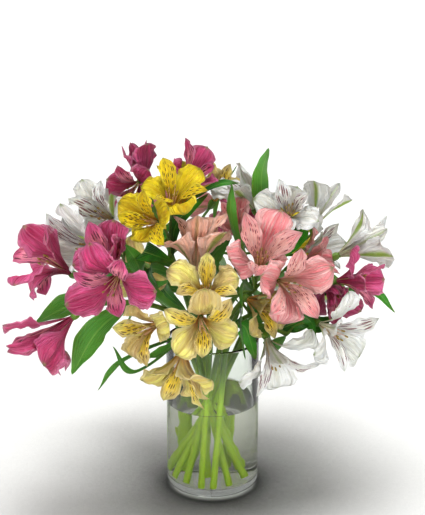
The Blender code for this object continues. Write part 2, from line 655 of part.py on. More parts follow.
def fused(name, pieces, look):
    """One solid made of several that cross each other."""
    base, *rest = pieces
    group = bpy.data.collections.new(name + "_joined")
    bpy.context.scene.collection.children.link(group)
    for piece in rest:
        for collection in piece.users_collection:
            collection.objects.unlink(piece)
        group.objects.link(piece)
    union = base.modifiers.new("Union", "BOOLEAN")
    union.operation = "UNION"
    union.operand_type = "COLLECTION"
    union.collection = group
    union.solver = JOIN_SOLVER
    solid = baked(base)
    for piece in rest:
        bpy.data.objects.remove(piece)
    bpy.data.collections.remove(group)
    one_body(solid.data)
    solid.name = name
    solid.data.materials.clear()
    solid.data.materials.append(look)
    return solid


def make_vase(parts):
    """The glass: a turned wall and floor, rounded at the rim and at both lower edges."""
    inner = VASE_RADIUS - VASE_WALL
    rim = VASE_WALL / 2
    outline = [(0, VASE_FLOOR)]
    for step in range(CORNER_STEPS + 1):
        angle = math.pi / 2 * step / CORNER_STEPS
        outline.append((inner - VASE_INNER_EDGE * (1 - math.sin(angle)),
                        VASE_FLOOR + VASE_INNER_EDGE * (1 - math.cos(angle))))
    for step in range(CORNER_STEPS + 1):
        angle = math.pi * step / CORNER_STEPS
        outline.append((inner + rim - rim * math.cos(angle), VASE_HEIGHT - rim + rim * math.sin(angle)))
    for step in range(CORNER_STEPS + 1):
        angle = math.pi / 2 * step / CORNER_STEPS
        outline.append((VASE_RADIUS - VASE_EDGE * (1 - math.cos(angle)), VASE_EDGE * (1 - math.sin(angle))))
    outline.append((0, 0))
    return turned("vase", outline, parts, material("clear_glass", (0.92, 0.95, 0.94), 0.03, 1))


def turned(name, outline, parts, look):
    mesh = bpy.data.meshes.new(name)
    mesh.from_pydata([(x, 0, z) for x, z in outline], [(i, i + 1) for i in range(len(outline) - 1)], [])
    made = add_object(name, mesh, parts, look)
    screw = made.modifiers.new("Screw", "SCREW")
    screw.steps = VASE_STEPS
    screw.render_steps = VASE_STEPS
    screw.use_merge_vertices = True
    screw.merge_threshold = 0.00001
    return made


def make_water(parts, cutters, paths):
    """The water fills the vase to its level and has a plain hole round each stem."""
    radius = VASE_RADIUS - VASE_WALL - SEAT_GAP
    floor = VASE_FLOOR + SEAT_GAP
    edge = VASE_INNER_EDGE
    outline = [(0, WATER_LEVEL), (radius, WATER_LEVEL)]
    for step in range(CORNER_STEPS + 1):
        angle = math.pi / 2 * step / CORNER_STEPS
        outline.append((radius - edge * (1 - math.cos(angle)), floor + edge * (1 - math.sin(angle))))
    outline.append((0, floor))
    water = turned("water", outline, parts, material("water", (0.90, 0.95, 0.93), 0.02, 1))
    for name, path in paths.items():
        below = path[0] + (path[0] - path[1]).normalized() * HOLE_REACH
        straight = [below, path[2]]
        hole = tube("hole_" + name, straight, [STEM_RADIUS + HOLE_GAP] * 2, cutters)
        hole.hide_render = True
        hole.display_type = "WIRE"
    cut = water.modifiers.new("Holes", "BOOLEAN")
    cut.operation = "DIFFERENCE"
    cut.operand_type = "COLLECTION"
    cut.collection = cutters
    cut.solver = "EXACT"
    return water


def wall_shells():
    """The vase's wall and the water, as rings that stalks and blades keep clear of."""
    rings = []
    for radius in (VASE_RADIUS + 0.0006, VASE_RADIUS - VASE_WALL - 0.0006):
        corners = []
        faces = []
        for side in range(24):
            angle = math.tau * side / 24
            place = Vector((radius * math.cos(angle), radius * math.sin(angle), 0))
            corners += [place, place + Vector((0, 0, VASE_HEIGHT + 0.001))]
            a = 2 * side
            b = 2 * ((side + 1) % 24)
            faces.append((a, b, b + 1, a + 1))
        rings.append((corners, faces))
    return rings


def plan():
    """Places every stem, stalk, tepal and leaf so that nothing crosses another flower or stem."""
    clearance = Clearance()
    for shell in wall_shells():
        clearance.add({"vase"}, shell)
    paths = {stem.name: stem_path(stem) for stem in STEMS}
    for name, path in paths.items():
        shell = tube_shell(path, [radius + CLEARANCE for radius in stem_radii(path)])
        if clearance.crossed({name}, shell):
            print("stem crosses", name)
        clearance.add({name}, shell)
    for flower in FLOWERS:
        base = flower_base(flower)
        end = base + flower_axes(flower)[0] * STAMEN_LENGTH * flower.size
        throat_radii = [SEAT_RADIUS + CLEARANCE, STAMEN_LENGTH * STAMEN_LEAN + CLEARANCE]
        clearance.add({flower.name}, tube_shell([base, end], throat_radii))
    stalks = {}
    for flower in FLOWERS:
        head = paths[flower.stem][-1]
        for bow in stalk_bows(flower, head):
            path = stalk_path(flower, head, bow)
            shell = tube_shell(path, [radius + CLEARANCE for radius in stalk_radii()])
            if not clearance.crossed({flower.stem, flower.name}, shell):
                break
        else:
            print("stalk crosses", flower.name)
        stalks[flower.name] = path
        clearance.add({flower.stem, flower.name}, shell)
    tepals = {}
    for flower in sorted(FLOWERS, key=lambda each: each.place.y):
        sisters = []
        for number in (3, 0, 1, 5, 2, 4):
            first_bend, first_swing, stretch = aimed(flower, number)

            def rows_for(bend, swing, trim):
                return tepal_rows(flower, number, first_bend + bend, first_swing + swing, stretch, trim)

            rows = clear_blade(clearance, {flower.name}, rows_for, PETAL_SHEET / 2, sisters)
            if rows:
                tepals[flower.name, number] = rows
                shell = blade_shell(past_root(rows), PETAL_SHEET / 2 + SISTER_GAP, SISTER_GAP)
                sisters.append(BVHTree.FromPolygons(*shell))
            else:
                print("no clear tepal", flower.name, number)
    leaves = {}
    for index, leaf in enumerate(LEAVES):
        def rows_for(bend, swing, trim):
            return leaf_rows(leaf, paths, bend, swing, trim)
        rows = clear_blade(clearance, {leaf.stem}, rows_for, LEAF_SHEET / 2)
        if rows:
            leaves[index] = rows
        else:
            print("no clear leaf", index, leaf.stem)
    return paths, stalks, tepals, leaves


def ring_corners(flower, radius, height):
    """One end of a flower's core: a corner between each two tepals and one in each broad root."""
    forward, up, right = flower_axes(flower)
    corners = []
    for number in range(6):
        for share in (0.5, 0) if number % 2 == 0 else (0.5,):
            turn = math.radians(flower.roll + 90 - 60 * (number - share))
            distance = radius * (1 if share else math.cos(math.pi / 6))
            spoke = math.cos(turn) * right + math.sin(turn) * up
            corners.append(flower_base(flower) + spoke * distance + forward * height)
    return corners


def make_flower(flower, tepals, parts, look):
    """One flower: tepals that grow as thin blades out of the sides of a small core, and stamens."""
    forward, up, right = flower_axes(flower)
    mesh = bpy.data.meshes.new(flower.name)
    work = bmesh.new()
    lower = [work.verts.new(corner) for corner in ring_corners(flower, SEAT_RADIUS, 0)]
    upper = [work.verts.new(corner) for corner in ring_corners(flower, CORE_RADIUS, CORE_HEIGHT)]
    work.faces.new(lower)
    first = 0
    for number in range(6):
        wide = 2 if number % 2 == 0 else 1
        picked = [(first + wide - step) % len(lower) for step in range(wide + 1)]
        root = ([lower[index] for index in picked], [upper[index] for index in picked])
        grow_blade(work, root, tepals.get((flower.name, number)))
        first += wide
    middle = work.verts.new(flower_base(flower) + forward * CORE_HEIGHT)
    for number in range(3):
        turn = math.radians(flower.roll + 90 - 120 * number - 60)
        aim = forward + (math.cos(turn) * right + math.sin(turn) * up) * STAMEN_LEAN
        point = work.verts.new(flower_base(flower) + aim.normalized() * STAMEN_LENGTH * flower.size)
        arc = [upper[(3 * number + step) % 9] for step in range(4)] + [middle]
        for a, b in zip(arc, arc[1:] + arc[:1]):
            work.faces.new((a, b, point))
    bmesh.ops.triangulate(work, faces=work.faces)
    bmesh.ops.recalc_face_normals(work, faces=work.faces)
    work.to_mesh(mesh)
    work.free()
    return add_object(flower.name, mesh, parts, look)


def grow_blade(work, root, rows):
    """Lofts a thin blade from one side of a core, split into triangles alike on both faces."""
    outer, inner = root
    wide = len(outer)
    if rows is None:
        for j in range(wide - 1):
            work.faces.new((outer[j], outer[j + 1], inner[j + 1], inner[j]))
        return
    for i in range(1, len(rows)):
        next_outer = []
        next_inner = []
        for j in range(wide):
            along = rows[min(i + 1, len(rows) - 1)][j] - rows[i - 1][j]
            across = rows[i][min(j + 1, wide - 1)] - rows[i][max(j - 1, 0)]
            half = along.cross(across).normalized() * PETAL_SHEET / 2
            next_outer.append(work.verts.new(rows[i][j] - half))
            next_inner.append(work.verts.new(rows[i][j] + half))
        for j in range(wide - 1):
            for near, far in ((outer, next_outer), (inner, next_inner)):
                work.faces.new((near[j], near[j + 1], far[j + 1]))
                work.faces.new((near[j], far[j + 1], far[j]))
        for j in (0, wide - 1):
            work.faces.new((outer[j], next_outer[j], next_inner[j], inner[j]))
        outer = next_outer
        inner = next_inner
    for j in range(wide - 1):
        work.faces.new((outer[j], outer[j + 1], inner[j + 1], inner[j]))


def make_stem(stem, path, stalks, leaves, parts, look):
    """One stem with its leaves, the stalks of its flowers and their seed pods."""
    pieces = [tube("stem_" + stem.name, path, stem_radii(path), parts)]
    for name, stalk in stalks.items():
        pieces.append(tube("stalk_" + name, stalk, stalk_radii(), parts, 0))
    for index, rows in leaves.items():
        pieces.append(blade(f"leaf_{index}", rows, LEAF_SHEET, parts))
    return fused("stem_" + stem.name, pieces, look)


def main():
    for old in list(bpy.data.objects):
        bpy.data.objects.remove(old)
    parts = bpy.data.collections.new("alstroemeria_bouquet")
    cutters = bpy.data.collections.new("cutters")
    bpy.context.scene.collection.children.link(parts)
    bpy.context.scene.collection.children.link(cutters)
    paths, stalks, tepals, leaves = plan()
    looks = {name: material(name + "_petal", colour, 0.5) for name, colour in COLOURS.items()}
    green = material("leaf_green", (0.13, 0.30, 0.05), 0.5)
    for flower in FLOWERS:
        make_flower(flower, tepals, parts, looks[flower.colour])
    for stem in STEMS:
        own_stalks = {f.name: stalks[f.name] for f in FLOWERS if f.stem == stem.name}
        own_leaves = {i: rows for i, rows in leaves.items() if LEAVES[i].stem == stem.name}
        make_stem(stem, paths[stem.name], own_stalks, own_leaves, parts, green)
    make_vase(parts)
    make_water(parts, cutters, paths)


main()
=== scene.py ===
"""A mixed bouquet of alstroemerias in a clear glass vase of water, as finished surfaces over its solids.

Units are metres and +Z is up. The front of the bouquet faces -Y.
"""
import math
import random
from collections import namedtuple

import bmesh
import bpy
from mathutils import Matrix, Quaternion, Vector
from mathutils.bvhtree import BVHTree


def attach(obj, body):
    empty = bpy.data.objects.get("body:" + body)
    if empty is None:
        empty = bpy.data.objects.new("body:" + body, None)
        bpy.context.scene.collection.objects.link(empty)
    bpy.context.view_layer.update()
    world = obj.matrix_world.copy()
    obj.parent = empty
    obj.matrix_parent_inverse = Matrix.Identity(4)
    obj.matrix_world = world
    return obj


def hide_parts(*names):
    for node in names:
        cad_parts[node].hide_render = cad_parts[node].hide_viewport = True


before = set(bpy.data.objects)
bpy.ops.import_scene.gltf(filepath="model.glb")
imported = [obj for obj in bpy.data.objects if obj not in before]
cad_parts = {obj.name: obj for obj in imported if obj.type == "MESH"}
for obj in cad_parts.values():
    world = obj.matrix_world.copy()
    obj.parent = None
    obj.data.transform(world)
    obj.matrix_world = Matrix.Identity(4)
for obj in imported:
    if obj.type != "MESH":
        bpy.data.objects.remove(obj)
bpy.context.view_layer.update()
scene = bpy.context.scene

# The camera stands 1.3 m in front of the vase and looks down 18 degrees, which the ellipses of the
# vase's rim and foot show. Columns and rows are counted in its picture of 425 by 515 pixels.
VIEW_TILT = math.radians(18.2)
VIEW_DISTANCE = 1.300
VIEW_AIM = Vector((0, 0, 0.2085))
VIEW_FOCUS = 1539
VIEW_COLUMN = 212.0
VIEW_ROW = 257.5
PICTURE_HEIGHT = 515
SENSOR_MM = 36
VIEW_BACK = Vector((0, -math.cos(VIEW_TILT), math.sin(VIEW_TILT)))
VIEW_RISE = Vector((0, math.sin(VIEW_TILT), math.cos(VIEW_TILT)))
EYE = VIEW_AIM + VIEW_DISTANCE * VIEW_BACK


def seen_at(column, row, depth):
    """The point that the picture shows at a column and row, at a depth in mm behind the vase's axis."""
    ray = Vector((1, 0, 0)) * (column - VIEW_COLUMN) + VIEW_RISE * (VIEW_ROW - row) - VIEW_BACK * VIEW_FOCUS
    return EYE + ray * ((depth / 1000 - EYE.y) / ray.y)


def shown_at(point):
    """The column and row that the picture shows a point at."""
    arm = point - EYE
    scale = VIEW_FOCUS / -arm.dot(VIEW_BACK)
    return VIEW_COLUMN + scale * arm.x, VIEW_ROW - scale * arm.dot(VIEW_RISE)


camera = bpy.data.objects.new("camera", bpy.data.cameras.new("camera"))
camera.location = EYE
camera.rotation_mode = "QUATERNION"
camera.rotation_quaternion = VIEW_BACK.to_track_quat("Z", "Y")
camera.data.sensor_width = SENSOR_MM
camera.data.lens = SENSOR_MM * VIEW_FOCUS / PICTURE_HEIGHT
scene.collection.objects.link(camera)
scene.camera = camera

# The light is a studio's: one broad soft source overhead, and a low white wall of light behind the
# camera, which fills the faces of the flowers. The wall's light fades between two values of how far
# up a direction points, and between two values of how far to the front.
TOP_LIGHT = 3.0
TOP_LIGHT_SPREAD = math.radians(36)
TOP_LIGHT_FROM = Vector((-0.02, -0.04, 1.0))
ROOM_LIGHT = 0.12
FRONT_LIGHT = 3.0
WALL_LIGHT = 0.5
FRONT_LIGHT_TOP = (0.1, 0.6)
FRONT_LIGHT_SIDE = (-0.15, 0.75)
scene.view_settings.view_transform = "Standard"
scene.view_settings.look = "Medium High Contrast"
top_light = bpy.data.objects.new("top_light", bpy.data.lights.new("top_light", "SUN"))
top_light.data.energy = TOP_LIGHT
top_light.data.angle = TOP_LIGHT_SPREAD
top_light.rotation_mode = "QUATERNION"
top_light.rotation_quaternion = TOP_LIGHT_FROM.to_track_quat("Z", "Y")
scene.collection.objects.link(top_light)


def paint(code):
    """A colour for a shader from the six digits of its screen colour."""
    shares = [int(code[first:first + 2], 16) / 255 for first in (0, 2, 4)]
    return (*[c / 12.92 if c <= 0.04045 else ((c + 0.055) / 1.055) ** 2.4 for c in shares], 1)


class Amount:
    """One value in a finish. Sums and products of amounts add the nodes that work them out."""

    def __init__(self, finish, socket):
        self.finish = finish
        self.socket = socket

    def __add__(self, other):
        return self.finish.maths("ADD", self, other)

    def __sub__(self, other):
        return self.finish.maths("SUBTRACT", self, other)

    def __rsub__(self, other):
        return self.finish.maths("SUBTRACT", other, self)

    def __mul__(self, other):
        return self.finish.maths("MULTIPLY", self, other)

    __radd__ = __add__
    __rmul__ = __mul__


class Finish:
    """A material, or the room's light, fed by amounts worked out from places and maps."""

    def __init__(self, name, owner=None, shader="Principled BSDF", **fixed):
        self.material = owner or bpy.data.materials.new(name)
        self.material.use_nodes = True
        self.tree = self.material.node_tree
        self.shader = self.tree.nodes[shader]
        for socket, value in fixed.items():
            self.surface(socket.replace("_", " ").title().replace("Ior", "IOR"), value)

    def feed(self, socket, value):
        if isinstance(value, Amount):
            self.tree.links.new(value.socket, socket)
        else:
            socket.default_value = paint(value) if isinstance(value, str) else value

    def surface(self, socket, value):
        self.feed(self.shader.inputs[socket], value)

    def node(self, kind, settings, sockets, output=0):
        made = self.tree.nodes.new(kind)
        for key, value in settings.items():
            setattr(made, key, value)
        for key, value in sockets.items():
            self.feed(made.inputs[key], value)
        return Amount(self, made.outputs[output])

    def maths(self, operation, *values):
        return self.node("ShaderNodeMath", {"operation": operation}, dict(enumerate(values)))

    def ease(self, value, low, high):
        """0 where the value is below low, 1 where it is above high, and a soft step between."""
        return self.node("ShaderNodeMapRange", {"interpolation_type": "SMOOTHSTEP"},
                         {"Value": value, "From Min": low, "From Max": high})

    def mix(self, share, first, second):
        return self.node("ShaderNodeMix", {"data_type": "RGBA"}, {0: share, 6: first, 7: second}, 2)

    def coats(self, under, *layers):
        """A colour under thin coats of others, each given with the share that it covers."""
        for share, over in layers:
            under = self.mix(share, under, over)
        return under

    def place(self):
        return self.node("ShaderNodeTexCoord", {}, {}, "Object")

    def part(self, vector, axis):
        return self.node("ShaderNodeSeparateXYZ", {}, {0: vector}, axis)

    def vector(self, x, y, z=0.0):
        return self.node("ShaderNodeCombineXYZ", {}, {0: x, 1: y, 2: z})

    def noise(self, vector, scale, detail=2.0):
        return self.node("ShaderNodeTexNoise", {}, {"Vector": vector, "Scale": scale, "Detail": detail})

    def pass_light(self, cloud):
        """Lets the light that casts shadows pass through a clear piece."""
        surface = self.tree.nodes["Material Output"].inputs["Surface"]
        shadow_ray = self.node("ShaderNodeLightPath", {}, {}, "Is Shadow Ray")
        clear = self.node("ShaderNodeBsdfTransparent", {}, {"Color": cloud})
        first = Amount(self, self.shader.outputs[0])
        self.feed(surface, self.node("ShaderNodeMixShader", {}, {0: shadow_ray, 1: first, 2: clear}))

    def bump(self, height, distance):
        self.surface("Normal", self.node("ShaderNodeBump", {}, {"Height": height, "Distance": distance}))


scene.world = bpy.data.worlds.new("room")
room = Finish("room", scene.world, "Background", color=(1, 1, 1, 1))
room_direction = room.node("ShaderNodeTexCoord", {}, {}, "Generated")
room_front = room.ease(room.part(room_direction, 1) * -1, *FRONT_LIGHT_SIDE)
room_low = 1 - room.ease(room.part(room_direction, 2), *FRONT_LIGHT_TOP)
room.surface("Strength", (room_front * FRONT_LIGHT + WALL_LIGHT) * room_low + ROOM_LIGHT)

# The floor is a plain pale matt sheet that runs past the edges of the picture, and is not part of the
# bouquet. Its base colour carries a painted shadow: an ambient occlusion reading darkens it where the
# bouquet hides the room from it, and less so under the foot of the clear vase.
FLOOR_SIDE = 12
SHADE_REACH = 0.40
SHADE_SAMPLES = 24
SHADE_OPEN = (0.36, 1.0)
SHADE_FOOT = (0.033, 0.041)
SHADE_UNDER_FOOT = 0.55


def add_piece(name, work, finishes, sharp_degrees=50):
    """Makes a piece of the scene from a finished mesh. Its edges are sharp where its faces fold."""
    mesh = bpy.data.meshes.new(name)
    work.to_mesh(mesh)
    work.free()
    mesh.shade_smooth()
    mesh.set_sharp_from_angle(angle=math.radians(sharp_degrees))
    for finish in finishes:
        mesh.materials.append(finish.material)
    piece = bpy.data.objects.new(name, mesh)
    scene.collection.objects.link(piece)
    return piece


floor_finish = Finish("pale_floor", roughness=0.8)
floor_grain = floor_finish.noise(floor_finish.place(), 3.0, 3.0)
floor_colour = floor_finish.mix(floor_grain, "E4E4E2", "E0E0DE")
# Painted shadow: how much of the room the bouquet hides from each place, read by ambient occlusion.
floor_open = floor_finish.node("ShaderNodeAmbientOcclusion", {"samples": SHADE_SAMPLES},
                               {"Distance": SHADE_REACH}, "AO")
floor_painted_shadow = 1 - floor_finish.ease(floor_open, *SHADE_OPEN)
from_foot = floor_finish.node("ShaderNodeVectorMath", {"operation": "LENGTH"},
                              {0: floor_finish.place()}, "Value")
past_foot = floor_finish.ease(from_foot, *SHADE_FOOT)
floor_painted_shadow = floor_painted_shadow * (past_foot * (1 - SHADE_UNDER_FOOT) + SHADE_UNDER_FOOT)
# The painted shadow darkens the floor's base colour towards near-black round the vase's foot.
floor_finish.surface("Base Color", floor_finish.mix(floor_painted_shadow, floor_colour, "0C0C0C"))
work = bmesh.new()
bmesh.ops.create_grid(work, x_segments=1, y_segments=1, size=FLOOR_SIDE / 2)
floor = add_piece("floor", work, [floor_finish])

# The vase is a drawn cylinder of clear glass with a thick floor. Its foot is rounded and its rim is
# fire-polished. It is turned from one profile round the Z axis.
VASE_RADIUS = 0.040
VASE_HEIGHT = 0.137
VASE_WALL = 0.003
VASE_FLOOR = 0.008
VASE_EDGE = 0.009
VASE_INNER_EDGE = 0.006
TURNED_STEPS = 96
CORNER_STEPS = 10
glass_finish = Finish("clear_glass", base_color=(0.94, 0.97, 0.945, 1), roughness=0.0,
                      transmission_weight=1.0, ior=1.46)
glass_ripple = glass_finish.noise(glass_finish.place(), 22.0, 1.0)
glass_finish.bump(glass_ripple, 0.0012)
glass_finish.pass_light((0.96, 0.97, 0.96, 1))


def rounded(centre_x, centre_z, radius, start, finish):
    """Points of a rounded corner of a turned profile, between two angles in degrees."""
    turns = [start + (finish - start) * step / CORNER_STEPS for step in range(CORNER_STEPS + 1)]
    angles = [math.radians(turn) for turn in turns]
    return [Vector((centre_x + radius * math.cos(a), 0, centre_z + radius * math.sin(a))) for a in angles]


def turned(outline):
    """A mesh turned once round the Z axis from a profile that starts and ends on the axis."""
    work = bmesh.new()
    corners = [work.verts.new(point) for point in outline]
    edges = [work.edges.new(pair) for pair in zip(corners, corners[1:])]
    bmesh.ops.spin(work, geom=corners + edges, cent=(0, 0, 0), axis=(0, 0, 1), angle=math.tau,
                   steps=TURNED_STEPS, use_merge=True)
    bmesh.ops.remove_doubles(work, verts=work.verts, dist=0.000005)
    bmesh.ops.recalc_face_normals(work, faces=work.faces)
    return work


hollow = VASE_RADIUS - VASE_WALL
rim = VASE_WALL / 2
vase_outline = [Vector((0, 0, VASE_FLOOR))]
vase_outline += rounded(hollow - VASE_INNER_EDGE, VASE_FLOOR + VASE_INNER_EDGE, VASE_INNER_EDGE, -90, 0)
vase_outline += rounded(hollow + rim, VASE_HEIGHT - rim, rim, 180, 0)
vase_outline += rounded(VASE_RADIUS - VASE_EDGE, VASE_EDGE, VASE_EDGE, 0, -90)
vase_outline += [Vector((0, 0, 0))]
vase = add_piece("glass_vase", turned(vase_outline), [glass_finish])
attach(vase, "root")
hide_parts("vase")

# The water fills the vase to a little over half its height and climbs a millimetre up the glass. Its
# sides sink just into the glass, so that no film of air shows between them.
WATER_LEVEL = 0.078
WATER_SINK = 0.00006
CLIMB = 0.0012
water_finish = Finish("water", base_color=(0.955, 0.93, 0.87, 1), roughness=0.0,
                      transmission_weight=1.0, ior=1.333)
water_ripple = water_finish.noise(water_finish.place(), 60.0, 1.0)
water_finish.bump(water_ripple, 0.0006)
water_finish.pass_light((0.97, 0.98, 0.96, 1))
wet = hollow + WATER_SINK
wet_floor = VASE_FLOOR - WATER_SINK
water_outline = [Vector((0, 0, wet_floor))]
water_outline += rounded(wet - VASE_INNER_EDGE, wet_floor + VASE_INNER_EDGE, VASE_INNER_EDGE, -90, 0)
for share in (0, 0.25, 0.5, 0.75, 1):
    water_outline.append(Vector((wet - share * CLIMB * 2, 0, WATER_LEVEL + CLIMB * (1 - share) ** 2)))
water_outline += [Vector((0, 0, WATER_LEVEL))]
water = add_piece("vase_water", turned(water_outline), [water_finish])
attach(water, "root")
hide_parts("water")

# The thirteen cut stems stand on the vase's floor, run straight to its mouth and bend out to the
# whorls of stalks at their heads. Each is a smooth green cane with a swollen ring at each node.
Stem = namedtuple("Stem", "name foot mouth head")
FOOT_GAP = 0.0006
RIM_CLEARANCE = 0.005
STEM_RADIUS = 0.0027
STEM_TOP_RADIUS = 0.0019
CANE_SIDES = 16
CANE_STEPS = 28
CANE_RIBS = 22
NODE_PITCH = 0.031
FIRST_NODE = 0.4
NODE_HALF_LENGTH = 0.0016
NODE_SWELL = 0.13
STEM_BOW = 0.45
CLEARANCE = 0.0004
WALL_GAP = 0.0006
WALL_TOP_GAP = 0.001
WALL_SIDES = 24


def millimetres(x, y, z):
    return Vector((x, y, z)) / 1000


# Where each stem stands on the vase's floor, crosses its mouth, and ends in its whorl of stalks.
STEMS = [Stem(name, foot, mouth, millimetres(*head)) for name, foot, mouth, head in (
    ("magenta_left", (13, -23), (-15, -24), (-86, -42, 184)),
    ("white_left", (22, -4), (-27, -4), (-76, 0, 200)),
    ("magenta_top", (14, 22), (-17, 22), (-48, 26, 236)),
    ("yellow_top", (-3, 2.5), (-10, 2), (-36, -12, 214)),
    ("buff_front", (-9, -30), (-2, -31), (-26, -62, 180)),
    ("buff_right", (0.5, -30.5), (11, -30), (32, -40, 172)),
    ("salmon", (-20, -17), (8, -17), (36, -26, 190)),
    ("white_top", (-15, 15.5), (18, 15.5), (54, 26, 204)),
    ("white_right", (-29, -10.5), (28, -10.5), (62, -34, 152)),
    ("magenta_right", (-27, 9), (29, 9), (84, 4, 172)),
    ("white_back", (-12, 28.5), (-14, 28.5), (-62, 52, 186)),
    ("salmon_back", (-4, 29), (-3, 29), (-2, 62, 196)),
    ("magenta_back", (6, 28.5), (12, 28.5), (56, 54, 178)),
)]


def curve_out(start, direction, finish, steps):
    """A curve that leaves its start in one direction and bends to its finish."""
    bow = start + direction.normalized() * (finish - start).length * STEM_BOW
    shares = [step / steps for step in range(steps + 1)]
    return [start.lerp(bow, t).lerp(bow.lerp(finish, t), t) for t in shares]


def stem_path(stem, low_steps=2, high_steps=3):
    """A stem's middle line, in as many steps below and above the vase's mouth as are asked for."""
    mouth = Vector((stem.mouth[0] / 1000, stem.mouth[1] / 1000, VASE_HEIGHT + RIM_CLEARANCE))
    foot = Vector((stem.foot[0] / 1000, stem.foot[1] / 1000, VASE_FLOOR + FOOT_GAP))
    slant = (mouth - foot).normalized()
    foot.z += STEM_RADIUS * math.hypot(slant.x, slant.y)
    corner_start = VASE_RADIUS - VASE_WALL - VASE_INNER_EDGE
    into_corner = max(0, math.hypot(foot.x, foot.y) + STEM_RADIUS - corner_start)
    foot.z += VASE_INNER_EDGE - math.sqrt(VASE_INNER_EDGE ** 2 - into_corner ** 2)
    straight = [foot.lerp(mouth, step / low_steps) for step in range(low_steps)]
    return straight + curve_out(mouth, mouth - foot, stem.head, high_steps)


def stem_radii(path):
    share = [index / (len(path) - 1) for index in range(len(path))]
    return [STEM_RADIUS + (STEM_TOP_RADIUS - STEM_RADIUS) * t for t in share]


class Clearance:
    """The solids placed so far, each a little fattened, and what a new one would cross."""

    def __init__(self):
        self.solids = []

    def add(self, owners, shell):
        centre, radius = reach(shell[0])
        self.solids.append((owners, centre, radius, BVHTree.FromPolygons(*shell)))

    def crossed(self, owners, shell):
        centre, radius = reach(shell[0])
        tree = None
        for others, other_centre, other_radius, other_tree in self.solids:
            if owners & others or (centre - other_centre).length > radius + other_radius:
                continue
            tree = tree or BVHTree.FromPolygons(*shell)
            if tree.overlap(other_tree):
                return True
        return False


def reach(points):
    """The centre and radius of a ball round some points."""
    centre = sum(points, Vector()) / len(points)
    return centre, max((point - centre).length for point in points)


def step_past(points, index):
    """The step from the point before one to the point after it."""
    return points[min(index + 1, len(points) - 1)] - points[max(index - 1, 0)]


def turned_from(right, up, angle):
    """The direction that lies at an angle from one direction towards another."""
    return math.cos(angle) * right + math.sin(angle) * up


def tube_shell(path, radii, sides=6):
    """The corners and faces of a closed tube, a little fattened, used only to test clearance."""
    corners = []
    faces = []
    for index, point in enumerate(path):
        along = step_past(path, index)
        across = along.orthogonal().normalized()
        up = along.cross(across).normalized()
        for side in range(sides):
            outward = turned_from(across, up, math.tau * side / sides)
            corners.append(point + (radii[index] + CLEARANCE) * outward)
    for index in range(len(path) - 1):
        for side in range(sides):
            a = index * sides + side
            b = index * sides + (side + 1) % sides
            faces.append((a, b, b + sides, a + sides))
    faces.append(tuple(range(sides)))
    faces.append(tuple(range(len(corners) - sides, len(corners))))
    return corners, faces


def wall_shells():
    """The vase's wall and the water, as rings that stalks and blades keep clear of."""
    rings = []
    for radius in (VASE_RADIUS + WALL_GAP, VASE_RADIUS - VASE_WALL - WALL_GAP):
        corners = []
        faces = []
        for side in range(WALL_SIDES):
            angle = math.tau * side / WALL_SIDES
            place = Vector((radius * math.cos(angle), radius * math.sin(angle), 0))
            corners += [place, place + Vector((0, 0, VASE_HEIGHT + WALL_TOP_GAP))]
            a = 2 * side
            b = 2 * ((side + 1) % WALL_SIDES)
            faces.append((a, b, b + 1, a + 1))
        rings.append((corners, faces))
    return rings


clearance = Clearance()
for shell in wall_shells():
    clearance.add({"vase"}, shell)
paths = {stem.name: stem_path(stem) for stem in STEMS}
for name, path in paths.items():
    clearance.add({name}, tube_shell(path, stem_radii(path)))


def new_work():
    """An empty mesh with two maps: where each corner lies on its sheet, and the sheet's own marks."""
    work = bmesh.new()
    work.loops.layers.uv.new("sheet")
    work.loops.layers.uv.new("mark")
    return work


def loft(work, rows, shares, slot=0, mark=0.0, folded=False):
    """Adds a sheet through rows of points. A folded one runs out over its face and home over its back."""
    wide = len(rows[0]) - 1
    long = len(rows) - 1
    sheet_map = work.loops.layers.uv["sheet"]
    mark_map = work.loops.layers.uv["mark"]
    made = bmesh.ops.create_grid(work, x_segments=wide, y_segments=long, size=1)
    places = {}
    for corner in made["verts"]:
        column = round((corner.co.x + 1) / 2 * wide)
        row = round((corner.co.y + 1) / 2 * long)
        places[corner] = (column, row)
        corner.co = rows[row][column]
    for face in {face for corner in made["verts"] for face in corner.link_faces}:
        face.material_index = slot
        on_back = folded and min(places[corner][0] for corner in face.verts) >= wide / 2
        for loop in face.loops:
            column, row = places[loop.vert]
            across = column / wide
            loop[sheet_map].uv = (1 - abs(2 * across - 1) if folded else across, shares[row])
            loop[mark_map].uv = (mark, float(on_back))


def tube(work, path, radii, sides, slot=0, mark=0.0, ribs=None):
    """Adds a closed round bar along a path. Ribs, where given, stand out at every other corner."""
    across = (path[1] - path[0]).orthogonal().normalized()
    rows = [[path[0]] * (sides + 1)]
    shares = [0]
    for index, point in enumerate(path):
        along = step_past(path, index).normalized()
        across = (across - along * across.dot(along)).normalized()
        up = along.cross(across)
        ring = []
        for side in range(sides):
            radius = radii[index] * (1 + (ribs[index] if ribs else 0) * (-1) ** side)
            ring.append(point + radius * turned_from(across, up, math.tau * side / sides))
        rows.append(ring + ring[:1])
        shares.append(index / (len(path) - 1))
    rows.append([path[-1]] * (sides + 1))
    shares.append(1)
    loft(work, rows, shares, slot, mark)


def closed(work):
    """Welds the seams and tips of the sheets of a mesh and turns every face outwards."""
    bmesh.ops.remove_doubles(work, verts=work.verts, dist=0.000001)
    bmesh.ops.dissolve_degenerate(work, edges=work.edges, dist=0.000001)
    bmesh.ops.recalc_face_normals(work, faces=work.faces)
    return work


